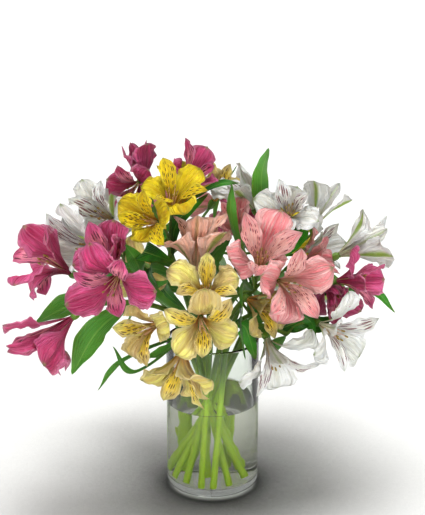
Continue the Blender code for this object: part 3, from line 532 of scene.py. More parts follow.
cane_finish = Finish("green_cane", roughness=0.42, subsurface_weight=0.15, subsurface_scale=0.002)
cane_map = cane_finish.node("ShaderNodeUVMap", {"uv_map": "sheet"}, {})
cane_mark = cane_finish.part(cane_finish.node("ShaderNodeUVMap", {"uv_map": "mark"}, {}), 0)
cane_round = cane_finish.part(cane_map, 0)
cane_height = cane_finish.part(cane_finish.place(), 2)
cane_tone = cane_finish.noise(cane_finish.place(), 70.0, 3.0)
# Partly the canes' own colour and partly painted shade: bright lime low in the water, fading to dark green by
# just under the vase's mouth and above, where the bouquet shades them.
cane_colour_and_painted_shade = cane_finish.mix(cane_finish.ease(cane_height, 0.07, 0.125), "9CBE16", "2E5E16")
cane_lines = cane_finish.maths("SINE", cane_round * (math.tau * CANE_RIBS)) * 0.5 + 0.5
cane_finish.surface("Base Color", cane_finish.coats(cane_colour_and_painted_shade, (cane_tone * 0.35, "B8CE4A"),
                                                    (cane_lines * 0.16, "3A6A1E"), (cane_mark, "C9C98A")))
cane_finish.bump(cane_lines * 0.5 + cane_tone, 0.0002)
canes = {}
for stem in STEMS:
    path = stem_path(stem, CANE_STEPS, CANE_STEPS)
    lengths = [0]
    for near, far in zip(path, path[1:]):
        lengths.append(lengths[-1] + (far - near).length)
    radii = []
    for length, radius in zip(lengths, stem_radii(path)):
        off_node = (length + NODE_PITCH * FIRST_NODE) % NODE_PITCH - NODE_PITCH / 2
        radii.append(radius * (1 + NODE_SWELL * math.exp(-(off_node / NODE_HALF_LENGTH) ** 2)))
    canes[stem.name] = new_work()
    tube(canes[stem.name], path, radii, CANE_SIDES)

# Each flower hangs on a thin stalk of its own from the head of its stem, and sits on a green seed pod
# with six low ribs. Headings turn from facing the viewer at 0 to the viewer's right at 90, and tilts
# rise from level. The roll turns a flower in its own plane, and the spread leans its tepals out.
Flower = namedtuple("Flower", "name stem place heading tilt roll spread size")
STALK_RADIUS = 0.0012
OVARY_RADIUS = 0.0031
OVARY_LENGTH = 0.009
OVARY_BELLY = 0.45
OVARY_TOP = 0.85
STALK_FOOT = 1.2
STALK_TAPER = 3
STALK_SAG = 0.15
SEAT_GAP = 0.0003
SEAT_RADIUS = 0.0026
THROAT_HEIGHT = 0.014
STAMEN_LENGTH = 0.027
STAMEN_LEAN = 0.14
STALK_RADII = (STALK_RADIUS * STALK_FOOT, STALK_RADIUS, STALK_RADIUS, OVARY_RADIUS, OVARY_RADIUS * OVARY_TOP)
STALK_BOWS = (0.004, 0.008, 0.012, 0.017, 0.023)
BOW_DIRECTIONS = 8
STALK_SIDES = 12
STALK_STEPS = 12

# The seed pod's shape, as shares of its length, of its full radius, and of how far its ribs stand out.
OVARY_SHAPE = ((0.12, 0.62, 0.05), (0.3, 0.86, 0.09), (0.55, 1.0, 0.1), (0.8, 1.0, 0.09),
               (0.95, 0.92, 0.05), (1.0, 0.8, 0))

# The flowers in the picture, placed by the column and row they are seen at and their depth, and
# those of the hidden back, placed in millimetres. Their turns and sizes follow.
SHOWN_FLOWERS = (
    ("magenta_01", "magenta_left", (54, 265, -38), -56, 34, 10, 60, 1.22),
    ("magenta_02", "magenta_left", (110, 263, -58), -20, 42, -5, 62, 1.10),
    ("magenta_03", "magenta_left", (113, 282, -98), -14, -6, 20, 72, 1.12),
    ("magenta_04", "magenta_left", (56, 331, -74), -54, -28, 10, 58, 1.20),
    ("white_01", "white_left", (104, 216, -8), -30, 28, 30, 58, 1.08),
    ("white_02", "white_left", (92, 248, -28), -55, 15, 20, 62, 1.08),
    ("magenta_05", "magenta_top", (134, 187, 8), -14, 0, -35, 58, 0.90),
    ("magenta_06", "magenta_top", (142, 172, 42), -150, 68, 0, 17, 0.80),
    ("magenta_07", "magenta_top", (191, 178, 28), 30, 45, -30, 42, 0.90),
    ("yellow_01", "yellow_top", (172, 199, -20), 10, 62, 70, 62, 0.96),
    ("yellow_02", "yellow_top", (150, 221, -52), -25, 20, 55, 72, 0.96),
    ("buff_01", "buff_front", (206, 291, -84), 0, 46, 60, 60, 0.98),
    ("buff_02", "buff_front", (147, 328, -86), -35, 4, 30, 70, 0.93),
    ("buff_03", "buff_front", (202, 324, -100), 8, -6, 0, 72, 0.98),
    ("buff_04", "buff_front", (180, 364, -74), -20, -52, -25, 50, 1.05),
    ("buff_05", "buff_right", (258, 304, -46), 45, -5, 0, 55, 0.88),
    ("peach_01", "salmon", (196, 252, -38), 175, 72, 60, 50, 1.20),
    ("salmon_01", "salmon", (260, 260, -52), 8, 48, -20, 60, 1.18),
    ("salmon_02", "salmon", (286, 284, -74), 25, 8, 60, 66, 1.12),
    ("salmon_03", "salmon", (236, 228, 0), -30, 60, 0, 32, 0.72),
    ("salmon_04", "buff_right", (306, 262, -20), 75, 25, 0, 48, 0.82),
    ("white_03", "white_top", (247, 198, 26), -60, 58, 0, 44, 0.88),
    ("white_04", "white_top", (289, 212, -14), 0, 34, -10, 64, 0.90),
    ("white_05", "white_top", (318, 212, 34), 150, 52, 0, 42, 0.86),
    ("white_06", "white_top", (314, 247, 14), 65, 28, 0, 48, 0.78),
    ("white_07", "magenta_right", (354, 248, 4), 100, 22, 0, 52, 1.06),
    ("magenta_08", "magenta_right", (351, 281, -38), 60, 10, 20, 58, 0.98),
    ("magenta_09", "magenta_right", (330, 290, -22), 20, -22, 0, 55, 0.85),
    ("white_08", "white_right", (332, 330, -48), 42, -5, -12, 66, 1.06),
    ("white_09", "white_right", (272, 353, -56), 25, -38, -40, 60, 1.04),
    ("buff_06", "yellow_top", (218, 192, 52), 60, 60, 0, 44, 0.72),
)
BACK_FLOWERS = (
    ("white_10", "white_back", (-88, 62, 212), -145, 25, 0, 64, 1.05),
    ("buff_07", "white_back", (-66, 84, 164), -155, -8, 0, 66, 1.00),
    ("salmon_05", "salmon_back", (-30, 98, 224), -170, 25, 0, 64, 1.10),
    ("yellow_03", "salmon_back", (-26, 60, 246), 180, 55, 0, 60, 0.95),
    ("magenta_10", "magenta_back", (26, 100, 210), 170, 12, 0, 64, 1.08),
    ("white_11", "magenta_back", (74, 92, 160), 145, -6, 0, 66, 1.05),
    ("yellow_04", "salmon_back", (60, 86, 196), 140, 12, 0, 62, 0.98),
)
FLOWERS = [Flower(name, stem, seen_at(*place), *turns) for name, stem, place, *turns in SHOWN_FLOWERS]
FLOWERS += [Flower(name, stem, millimetres(*place), *turns) for name, stem, place, *turns in BACK_FLOWERS]


def smooth_path(points, count):
    """Points along a Catmull-Rom curve through the given points."""
    ends = [2 * points[0] - points[1], *points, 2 * points[-1] - points[-2]]
    path = []
    for index in range(count + 1):
        place = index / count * (len(points) - 1)
        first = min(int(place), len(points) - 2)
        t = place - first
        p0, p1, p2, p3 = ends[first:first + 4]
        path.append(0.5 * (2 * p1 + (p2 - p0) * t + (2 * p0 - 5 * p1 + 4 * p2 - p3) * t ** 2
                           + (3 * p1 - p0 - 3 * p2 + p3) * t ** 3))
    return path


def flower_axes(flower):
    """Where a flower faces, with its own upward and rightward directions."""
    heading = math.radians(flower.heading)
    tilt = math.radians(flower.tilt)
    level = Vector((math.sin(heading), -math.cos(heading), 0))
    forward = level * math.cos(tilt) + Vector((0, 0, math.sin(tilt)))
    up = Vector((0, 0, math.cos(tilt))) - level * math.sin(tilt)
    return forward, up, up.cross(forward)


def flower_base(flower):
    return flower.place - flower_axes(flower)[0] * THROAT_HEIGHT * flower.size


def stalk_path(flower, head, bow):
    """A stalk from the stem's head to its flower, with the seed pod as its thick end."""
    forward = flower_axes(flower)[0]
    seat = flower_base(flower) - forward * SEAT_GAP
    pod = seat - forward * OVARY_LENGTH
    middle = (head + pod) / 2 - forward * (pod - head).length * STALK_SAG + bow
    return [head, middle, pod, pod.lerp(seat, OVARY_BELLY), seat]


def stalk_bows(flower, head):
    """The sideways bows that a stalk tries, from none to wide."""
    along = (flower.place - head).normalized()
    across = along.orthogonal().normalized()
    up = along.cross(across)
    yield Vector()
    for size in STALK_BOWS:
        for step in range(BOW_DIRECTIONS):
            yield turned_from(across, up, math.tau * step / BOW_DIRECTIONS) * size


for flower in FLOWERS:
    base = flower_base(flower)
    end = base + flower_axes(flower)[0] * STAMEN_LENGTH * flower.size
    clearance.add({flower.name}, tube_shell([base, end], [SEAT_RADIUS, STAMEN_LENGTH * STAMEN_LEAN]))
for flower in FLOWERS:
    head = paths[flower.stem][-1]
    for bow in stalk_bows(flower, head):
        path = stalk_path(flower, head, bow)
        shell = tube_shell(path, STALK_RADII)
        if not clearance.crossed({flower.stem, flower.name}, shell):
            break
    clearance.add({flower.stem, flower.name}, shell)
    pod, seat = path[2], path[-1]
    tapers = [min(1, STALK_TAPER * index / STALK_STEPS) for index in range(STALK_STEPS + 1)]
    path = smooth_path(path[:3], STALK_STEPS) + [pod.lerp(seat, share) for share, _, _ in OVARY_SHAPE]
    radii = [STALK_RADIUS * (STALK_FOOT - (STALK_FOOT - 1) * taper) for taper in tapers]
    radii += [OVARY_RADIUS * swell for _, swell, _ in OVARY_SHAPE]
    ribs = [0] * (STALK_STEPS + 1) + [rib for _, _, rib in OVARY_SHAPE]
    tube(canes[flower.stem], path, radii, STALK_SIDES, ribs=ribs)
for stem in STEMS:
    cane = add_piece("cane_" + stem.name, closed(canes[stem.name]), [cane_finish])
    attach(cane, "root")
    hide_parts("stem_" + stem.name)


# Each flower has six tepals round its stamens: three broad ones with a green point, and between them
# three narrow ones with rows of dark dashes. They are thin soft sheets that spread from narrow claws,
# cupped along their length and a little ruffled at their edges.
Blade = namedtuple("Blade", "length width lean rise cup shape")
SOLID_SHEET = 0.0008
SHOWN_SHEET = 0.0005
CORE_RADIUS = 0.0016
CORE_HEIGHT = 0.0016
TIP_CURL = 16
CURL_START = 0.7
CURL_REACH = 0.3
LEAN_END = 0.8
LEAN_CURVE = 1.2
SWING_END = 0.5
TEPAL_TURN = 60
PATH_STEPS = 25
ACROSS = 18
TEPAL_SHARES = [step / 32 for step in range(31)] + [0.955, 0.975, 0.99, 0.998]

# The broad and the narrow tepal: length and width, the lean of the claw in degrees, how much less the
# tip leans out, the depth of the cup, and pairs of a share of the length and a share of the width.
BROAD = Blade(0.046, 0.0280, 21, 0, 0.16, ((0, 0.07), (0.2, 0.18), (0.32, 0.28), (0.42, 0.58), (0.55, 0.90),
                                           (0.72, 1.0), (0.9, 0.84), (1, 0.40)))
NARROW = Blade(0.047, 0.0158, 8, 7, 0.14, ((0, 0.12), (0.2, 0.25), (0.32, 0.34), (0.45, 0.68), (0.68, 1.0),
                                           (0.85, 0.82), (1, 0.20)))
TEPAL_ROWS = (0, 0.32, 0.56, 0.80, 1)
SOFTENING = (-0.06, -0.03, 0, 0.03, 0.06)

# What makes a blade lively: waves as pairs of a strength and a rate, shares of the length that they and
# the tip's roll start from, and shares of the width for the cup, the midrib and the twist.
RUFFLE = 0.23
RUFFLE_CURVE = 2.2
PLEATS = ((0.07, 0.9), (0.045, 2.1))
PLEAT_SLANT = 0.35
RUFFLES = ((1.0, 1.8), (0.45, 4.4), (0.16, 9.0))
RAGGED = ((0.05, 2.2), (0.035, 5.2), (0.022, 11.0))
WAVE_RATES = (0.8, 1.25)
LIVELY_START = 0.35
LIVELY_REACH = 0.3
CUP_FADE = 0.5
CUP_BOWL = (1.3, 0.3)
TWIST = 0.12
TIP_ROLL = 0.45
ROLL_RANGE = (-1.0, 0.6)
ROLL_START = 0.68
ROLL_REACH = 0.32
MIDRIB_DEPTH = 0.0009
MIDRIB_WIDTH = 0.16
MIDRIB_FADE = 4
TIP_START = 0.86
TIP_CURVE = 2.6
TIP_POINT = 0.0008
TIP_THINNING = 10

# The green core that the tepals leave, as pairs of a height over the flower's seat and a radius.
CORE_SHAPE = ((0, SEAT_RADIUS * 0.9), (0.0004, SEAT_RADIUS), (0.0012, SEAT_RADIUS * 0.92),
              (0.0022, CORE_RADIUS * 0.8))

# The six stamens and the style in the throat: their ring, pairs of a share of their length and of their
# sag, the ranges of chance of their turns and sizes, a filament's radius at its root and how much
# thinner it gets at each step, and an anther's length, with shares of that length and the radii there.
STAMENS = 6
STAMEN_STEPS = 9
STAMEN_SIDES = 7
STAMEN_RING = 0.0009
STAMEN_ROOT = 0.6
STAMEN_STOPS = ((0.5, 0.5), (0.86, 0.6))
STAMEN_DROOP = 0.5
STAMEN_TURN = 14
STAMEN_SPREADS = (0.8, 1.25)
STAMEN_LENGTHS = (0.82, 1.02)
STAMEN_SAGS = (0.10, 0.22)
ANTHER_NODS = (-0.6, 0.2)
FILAMENT_RADIUS = 0.00042
FILAMENT_TAPER = 0.00002
ANTHER_LENGTH = 0.0038
ANTHER_SHARES = (0.08, 0.25, 0.5, 0.75, 0.92, 1.0)
ANTHER_RADII = [0.0005, 0.0007, 0.00078, 0.0007, 0.0005, 0.0002]

# How far the aiming of a tepal bends, swings and stretches it at most, its first steps, the least gain
# worth a step, and what each degree and share of the length counts against a miss in pixels.
AIM_LIMITS = ((-45, 60), (-40, 40), (0.8, 1.25))
AIM_STEPS = (16, 12, 0.1)
AIM_ROUNDS = 5
AIM_GAIN = 0.0001
ANGLE_STRAIN = 0.06
STRETCH_STRAIN = 12

# What a flower's tepals keep clear of each other, the order that they grow in, and the bends, swings
# and trims that a blade tries until it crosses nothing.
SISTER_GAP = 0.0002
GROWN_IN_TURN = (3, 0, 1, 5, 2, 4)
ROOT_SHARE = 0.4
BENDS = (0, -8, 8, -16, 16, -24, 24, -34, 34, -46, 46)
SWINGS = (0, 8, -8, 16, -16, 26, -26)
TRIMS = (1.0, 0.92, 0.84, 0.75, 0.65, 0.55)
TRIM_STRAIN = 126

# The columns and rows that the picture shows some of the tepals' tips at. A flower's tepals are
# numbered from 0, the broad one at its top, clockwise to 5, and the odd ones are the narrow ones.
TIPS = {
    "magenta_01": {0: (17, 230), 1: (53, 224), 2: (12, 282), 3: (46, 295), 4: (30, 292), 5: (3, 254)},
    "magenta_02": {0: (112, 220), 1: (124, 240), 2: (141, 247), 4: (80, 262), 5: (88, 222)},
    "magenta_03": {1: (122, 258), 2: (156, 291), 3: (118, 317), 4: (66, 303), 5: (73, 274)},
    "magenta_04": {0: (4, 321), 1: (5, 349), 2: (40, 366), 3: (57, 377), 4: (64, 356), 5: (7, 354)},
    "white_01": {0: (81, 180), 1: (104, 177), 5: (68, 199)},
    "white_02": {0: (61, 203), 3: (70, 272), 4: (52, 262), 5: (43, 214)},
    "magenta_05": {0: (150, 167), 1: (154, 192), 4: (108, 178), 5: (117, 166)},
    "magenta_07": {0: (207, 147), 1: (213, 164), 2: (206, 183), 5: (184, 138)},
    "yellow_01": {0: (143, 182), 1: (163, 156), 2: (199, 169), 3: (207, 191), 4: (184, 209), 5: (159, 203)},
    "yellow_02": {0: (118, 203), 1: (141, 192), 2: (172, 212), 3: (163, 245), 4: (135, 247), 5: (113, 219)},
    "buff_01": {0: (168, 268), 1: (207, 252), 2: (238, 280), 4: (200, 305)},
    "buff_02": {0: (133, 309), 2: (171, 322), 4: (131, 361), 5: (112, 328)},
    "buff_03": {1: (231, 300), 2: (235, 335), 3: (202, 358), 4: (183, 350), 5: (169, 302)},
    "buff_04": {0: (210, 384), 1: (205, 409), 3: (163, 401), 4: (142, 386), 5: (146, 374)},
    "peach_01": {0: (225, 231), 1: (197, 214), 2: (168, 240), 4: (206, 211)},
    "salmon_01": {0: (281, 208), 1: (301, 232), 2: (292, 262), 4: (227, 262), 5: (244, 213)},
    "salmon_02": {0: (262, 276), 1: (300, 248), 2: (330, 268), 3: (317, 318), 4: (271, 315)},
    "white_03": {0: (236, 163), 1: (254, 164), 5: (227, 181)},
    "white_04": {0: (297, 187), 1: (320, 190), 2: (318, 221), 4: (260, 195), 5: (278, 178)},
    "white_07": {0: (364, 210), 1: (388, 217), 3: (387, 270), 4: (393, 252)},
    "magenta_08": {0: (352, 251), 1: (384, 263), 2: (382, 283), 3: (373, 309)},
    "white_08": {0: (345, 291), 1: (379, 319), 2: (362, 358), 3: (344, 371), 4: (314, 355)},
    "white_09": {0: (312, 330), 1: (320, 367), 2: (279, 392), 4: (239, 383)},
}


def blade_shell(rows, half, rim):
    """The corners and faces of a blade, half its thickness to each side, made wider by a rim."""
    count = len(rows)
    wide = len(rows[0])
    columns = list(zip(*rows))
    top = []
    bottom = []
    for i, row in enumerate(rows):
        for j, point in enumerate(row):
            along = step_past(columns[j], i)
            across = step_past(row, j)
            normal = along.cross(across).normalized()
            outward = across.normalized() * ((j == wide - 1) - (j == 0))
            outward += along.normalized() * (i == count - 1)
            top.append(point + half * normal + rim * outward)
            bottom.append(point - half * normal + rim * outward)
    faces = []
    for i in range(count - 1):
        for j in range(wide - 1):
            a = i * wide + j
            faces.append((a, a + 1, a + wide + 1))
            faces.append((a, a + wide + 1, a + wide))
    below = len(top)
    faces += [tuple(corner + below for corner in reversed(face)) for face in faces]
    border = list(range(wide))
    border += [i * wide + wide - 1 for i in range(1, count)]
    border += [(count - 1) * wide + j for j in range(wide - 2, -1, -1)]
    border += [i * wide for i in range(count - 2, 0, -1)]
    for a, b in zip(border, border[1:] + border[:1]):
        faces.append((b, a, a + below))
        faces.append((b, a + below, b + below))
    return top + bottom, faces


def profile(t, knots):
    """A width that runs straight from knot to knot."""
    for (t0, w0), (t1, w1) in zip(knots, knots[1:]):
        if t <= t1:
            return w0 + (w1 - w0) * (t - t0) / (t1 - t0)
    return knots[-1][1]


def soft_profile(t, knots):
    """The same width with its knots rounded off."""
    return sum(profile(max(0, min(1, t + step)), knots) for step in SOFTENING) / len(SOFTENING)


def tepal_path(flower, number, bend, swing, stretch):
    """Places along one tepal's midline, each with its direction, its inward normal and its side."""
    forward, up, right = flower_axes(flower)
    blade = NARROW if number % 2 else BROAD
    length = blade.length * flower.size * stretch
    finish = flower.spread + bend - blade.rise
    point = None
    path = []
    for step in range(PATH_STEPS + 1):
        t = step / PATH_STEPS
        turn = math.radians(flower.roll + 90 - TEPAL_TURN * number + swing * min(1, t / SWING_END))
        out = turned_from(right, up, turn)
        side = -math.sin(turn) * right + math.cos(turn) * up
        if point is None:
            point = flower_base(flower) + forward * CORE_HEIGHT / 2 + out * (SEAT_RADIUS + CORE_RADIUS) / 2
        lean = blade.lean + (finish - blade.lean) * min(1, t / LEAN_END) ** LEAN_CURVE
        lean += TIP_CURL * max(0, t - CURL_START) / CURL_REACH
        lean = math.radians(lean)
        along = math.sin(lean) * out + math.cos(lean) * forward
        path.append((point, along, math.sin(lean) * forward - math.cos(lean) * out, side))
        point = point + along * length / PATH_STEPS
    return path


def aimed(flower, number):
    """The bend, swing and stretch that bring a tepal's tip to where the picture shows it."""
    target = TIPS.get(flower.name, {}).get(number)
    best = (0, 0, 1)
    if target is None:
        return best

    def miss(choice):
        column, row = shown_at(tepal_path(flower, number, *choice)[-1][0])
        strain = abs(choice[0]) * ANGLE_STRAIN + abs(choice[1]) * ANGLE_STRAIN
        strain += abs(choice[2] - 1) * STRETCH_STRAIN
        return math.hypot(column - target[0], row - target[1]) + strain

    steps = AIM_STEPS
    for _ in range(AIM_ROUNDS):
        moved = True
        while moved:
            moves = [best]
            for axis in range(3):
                for sign in (-1, 1):
                    move = list(best)
                    move[axis] += sign * steps[axis]
                    moves.append(tuple(move))
            moves = [tuple(max(low, min(high, value)) for value, (low, high) in zip(move, AIM_LIMITS))
                     for move in moves]
            nearest = min(moves, key=miss)
            moved = miss(nearest) < miss(best) - AIM_GAIN
            best = nearest
        steps = tuple(step / 2 for step in steps)
    return best


def tepal_form(flower, number, bend, swing, stretch, trim):
    """A tepal's kind of blade, half its width and its midline. A trim takes half as much off its width."""
    blade = NARROW if number % 2 else BROAD
    half_width = blade.width * flower.size / 2 * (0.5 + 0.5 * trim)
    return blade, half_width, tepal_path(flower, number, bend, swing, stretch * trim)


def tepal_rows(flower, number, bend, swing, stretch, trim):
    """The few rows of points of one tepal that its clearance is tested with. A narrow one's are flat."""
    blade, half_width, path = tepal_form(flower, number, bend, swing, stretch, trim)
    rows = []
    for t in TEPAL_ROWS:
        point, _, normal, side = path[round(t * PATH_STEPS)]
        width = half_width * profile(t, blade.shape)
        if blade is NARROW:
            rows.append((point - side * width, point + side * width))
        else:
            cup = normal * width * blade.cup * (1 - CUP_FADE * t)
            rows.append((point - side * width + cup, point - cup * CUP_BOWL[1], point + side * width + cup))
    return rows


def past_root(rows):
    """The rows of a blade with the first one moved a little way up, off its neighbours' roots."""
    return [[near.lerp(far, ROOT_SHARE) for near, far in zip(rows[0], rows[1])]] + rows[1:]


def clear_blade(owners, rows_for, half, sisters=()):
    """The mildest bend, swing and trim of a blade that crosses nothing, and its rows."""
    tries = [(abs(bend) + abs(swing) + (1 - trim) * TRIM_STRAIN, bend, swing, trim)
             for bend in BENDS for swing in SWINGS for trim in TRIMS]
    for kept_off in (sisters, ()):
        for _, bend, swing, trim in sorted(tries):
            rows = rows_for(bend, swing, trim)
            shell = blade_shell(rows, half + CLEARANCE, half + CLEARANCE)
            if clearance.crossed(owners, shell):
                continue
            own = BVHTree.FromPolygons(*blade_shell(past_root(rows), half, 0)) if kept_off else None
            if any(own.overlap(sister) for sister in kept_off):
                continue
            clearance.add(owners, shell)
            return (bend, swing, trim), rows
    return None, None


def along_path(path, share):
    """The place, inward normal and side at any share of a tepal's length."""
    place = share * PATH_STEPS
    first = min(int(place), PATH_STEPS - 1)
    near, far = path[first], path[first + 1]
    t = place - first
    normal, side = [near[part].lerp(far[part], t).normalized() for part in (2, 3)]
    return near[0].lerp(far[0], t), normal, side


def blade_row(point, side, normal, steps, half_sheet, shape_at):
    """One row of a thin blade, which runs out over its face and home over its back. The shape tells how
    far off the middle line and how high the blade lies at each place across it, from -1 to 1."""
    face = []
    back = []
    for step in range(steps + 1):
        s = 2 * step / steps - 1
        off_middle, height = shape_at(s)
        place = point + side * off_middle + normal * height
        sheet = normal * (half_sheet * math.sqrt(1 - s * s))
        face.append(place + sheet)
        back.append(place - sheet)
    return face + back[-2::-1]


def wavering(dice, parts):
    """A wave of several strengths and rates, each begun at random."""
    waves = [(strength, rate * dice.uniform(*WAVE_RATES), dice.uniform(0, math.tau))
             for strength, rate in parts]

    def wave(t):
        return sum(strength * math.sin(rate * math.tau * t + start) for strength, rate, start in waves)

    return wave


def grow_tepal(work, flower, number, bend, swing, stretch, trim):
    """Adds one tepal: a thin closed sheet with a claw, a cupped and ruffled blade and a pointed tip."""
    blade, half_width, path = tepal_form(flower, number, bend, swing, stretch, trim)
    dice = random.Random(f"{flower.name} {number}")
    ruffles = [wavering(dice, RUFFLES) for _ in range(2)]
    ragged = [wavering(dice, RAGGED) for _ in range(2)]
    pleats = wavering(dice, PLEATS)
    twist = dice.uniform(-TWIST, TWIST)
    roll = dice.uniform(*ROLL_RANGE) * TIP_ROLL
    rows = [[path[0][0]] * (2 * ACROSS + 1)]
    for t in TEPAL_SHARES:
        point, normal, side = along_path(path, t)
        width = half_width * soft_profile(t, blade.shape)
        if t > TIP_START:
            width *= math.sqrt(max(0, 1 - ((t - TIP_START) / (1 - TIP_START)) ** TIP_CURVE))
        lively = max(0, min(1, (t - LIVELY_START) / LIVELY_REACH))

        def shape_at(s):
            edge = int(s > 0)
            height = width * blade.cup * (1 - CUP_FADE * t) * (CUP_BOWL[0] * s * s - CUP_BOWL[1])
            height += width * RUFFLE * lively * abs(s) ** RUFFLE_CURVE * ruffles[edge](t)
            height += width * lively * (twist * s + pleats(s + PLEAT_SLANT * t))
            height += half_width * roll * max(0, (t - ROLL_START) / ROLL_REACH) ** 2
            midrib = math.exp(-(s / MIDRIB_WIDTH) ** 2) * min(1, MIDRIB_FADE * t, MIDRIB_FADE * (1 - t))
            return width * (s * (1 + lively * abs(s) * ragged[edge](t))), height - MIDRIB_DEPTH * midrib

        half_sheet = SHOWN_SHEET / 2 * min(1, TIP_THINNING * (1 - t))
        rows.append(blade_row(point, side, normal, ACROSS, half_sheet, shape_at))
    point, normal, side = along_path(path, 1)
    tip = point + path[-1][1] * TIP_POINT + normal * (half_width * roll)
    rows.append([tip] * (2 * ACROSS + 1))
    loft(work, rows, [0, *TEPAL_SHARES, 1], int(blade is NARROW), dice.random(), folded=True)


def grow_stamens(work, flower):
    """Adds the six stamens and the style, which leave the throat in a loose bunch and nod forwards."""
    forward, up, right = flower_axes(flower)
    dice = random.Random(flower.name)
    droop = (forward * forward.z - Vector((0, 0, 1))) * STAMEN_DROOP
    for number in range(STAMENS + 1):
        is_style = number == STAMENS
        turn = math.radians(flower.roll + 360 / STAMENS * number + dice.uniform(-STAMEN_TURN, STAMEN_TURN))
        out = turned_from(right, up, turn)
        spread = 0 if is_style else STAMEN_LEAN * dice.uniform(*STAMEN_SPREADS)
        aim = (forward + out * spread).normalized()
        root = flower_base(flower) + forward * CORE_HEIGHT * STAMEN_ROOT
        root += out * (0 if is_style else STAMEN_RING)
        length = STAMEN_LENGTH * flower.size * dice.uniform(*STAMEN_LENGTHS)
        sag = droop * length * dice.uniform(*STAMEN_SAGS)
        stops = [root + aim * length * far + sag * low for far, low in STAMEN_STOPS]
        path = smooth_path([root, *stops], STAMEN_STEPS)
        radii = [FILAMENT_RADIUS - FILAMENT_TAPER * index for index in range(STAMEN_STEPS + 1)]
        if not is_style:
            last = path[-1]
            heading = (aim + droop * dice.uniform(*ANTHER_NODS)).normalized()
            path += [last + heading * ANTHER_LENGTH * share for share in ANTHER_SHARES]
            radii += ANTHER_RADII
        tube(work, path, radii, STAMEN_SIDES, slot=2, mark=0.0 if is_style else 1.0)


# The colours of the six kinds: the face of a broad tepal, its deeper blush, which also serves as the
# painted shade down its midrib, its edge and its base, the middle of a narrow one, its veins, its dashes,
# the backs, the stripe down a broad back and the point at its tip. The numbers are how strong that stripe
# is, how many of the dashes there are, and how many columns and rows of them a tepal has room for.
Look = namedtuple("Look", "face deep edge base middle vein dash back stripe point "
                          "stripe_share dash_share dash_columns dash_rows")
LOOKS = {
    "magenta": Look("CC447C", "8A1040", "E07AA4", "A01E4C", "F29AA8", "94184C", "560828", "B03668", "6E2A40",
                    "7E8A3A", 0.45, 0.66, 8, 4.2),
    "white": Look("FDFCF6", "DEDECA", "FFFFFF", "E8DEB2", "FDFBF2", "DDDACA", "701232", "FAFBF2", "8CB02C",
                  "88A830", 0.90, 0.84, 7, 3.0),
    "yellow": Look("EED00A", "C4960A", "FAE63C", "C47C08", "F4CC06", "D09C08", "3A1C08", "E2C824", "848C26",
                   "7E8E28", 0.60, 0.62, 9, 8),
    "buff": Look("F2E478", "B88470", "F0DCA4", "EE9A10", "FAD22A", "D2AC5C", "522410", "E8D27E", "A88874",
                 "8E9840", 0.60, 0.55, 9, 7),
    "salmon": Look("E88489", "C24E60", "F6B8B2", "F0BA96", "F4B2A8", "FAD6D0", "963248", "E6848A", "76822F",
                   "7E8C38", 0.80, 0.42, 11, 11),
    "peach": Look("FFB49C", "F08C74", "FFD2C2", "F4C296", "FFC0AA", "FFDACA", "8A3A28", "FFBEA6", "74882C",
                  "7E8C38", 0.90, 0.40, 10, 9),
}


def maps_of(finish):
    """The places on the sheets of a piece: across and along each, off its middle line, its mark, its side."""
    sheet = finish.node("ShaderNodeUVMap", {"uv_map": "sheet"}, {})
    mark = finish.node("ShaderNodeUVMap", {"uv_map": "mark"}, {})
    across = finish.part(sheet, 0)
    off_middle = finish.maths("ABSOLUTE", across * 2 - 1)
    return across, finish.part(sheet, 1), off_middle, finish.part(mark, 0), finish.part(mark, 1)


# How the veins fan out and fade, and how a narrow tepal's dashes wander, stagger, vary and fade.
NARROW_VEINS = (16, 20)
BROAD_VEINS = (24, 34)
VEIN_FAN = (1.3, 0.5)
VEIN_STRETCH = 1.8
VEIN_EDGE = (0.42, 0.68)
DASH_WANDER = 0.16
DASH_STAGGER = 7
DASH_LENGTHS = (3.4, 1.4)
DASH_WIDTHS = (3.9, 1.2)
DASH_EDGE = (0.45, 1.1)


def uneven_veins(finish, across, along, seed, count):
    """Veins of uneven strength that fan out along a sheet and run into its edges."""
    fan = (across - 0.5) * (VEIN_FAN[0] - along * VEIN_FAN[1])
    streaks = finish.noise(finish.vector(fan * count, along * VEIN_STRETCH, seed * 30), 1.0, 3.0)
    return finish.ease(streaks, *VEIN_EDGE)


def chance(finish, dimensions, place, output="Value"):
    """A number by chance, or a colour, that stays the same over each spot of a sheet."""
    return finish.node("ShaderNodeTexWhiteNoise", {"noise_dimensions": dimensions}, {"Vector": place}, output)


def dashes(finish, across, along, seed, columns, rows, share):
    """Rows of short dark strokes along a sheet. Each is there or not, long or short, by chance."""
    column = across * columns + finish.maths("SINE", along * 9 + seed * 30) * DASH_WANDER
    in_column = finish.maths("FRACT", column) - 0.5
    column_dice = chance(finish, "2D", finish.vector(finish.maths("FLOOR", column), seed * 90))
    row = along * rows + column_dice * DASH_STAGGER
    in_row = finish.maths("FRACT", row) - 0.5
    spot = finish.vector(finish.maths("FLOOR", column), finish.maths("FLOOR", row), seed * 90)
    long_dice = finish.part(chance(finish, "3D", spot, "Color"), 1)
    there = finish.maths("LESS_THAN", chance(finish, "3D", spot), share)
    long = in_row * (DASH_LENGTHS[0] - long_dice * DASH_LENGTHS[1])
    broad = (in_column + (long_dice - 0.5) * 0.3) * (DASH_WIDTHS[0] - long_dice * DASH_WIDTHS[1])
    inside = 1 - finish.ease(long * long + broad * broad, *DASH_EDGE)
    return inside * there


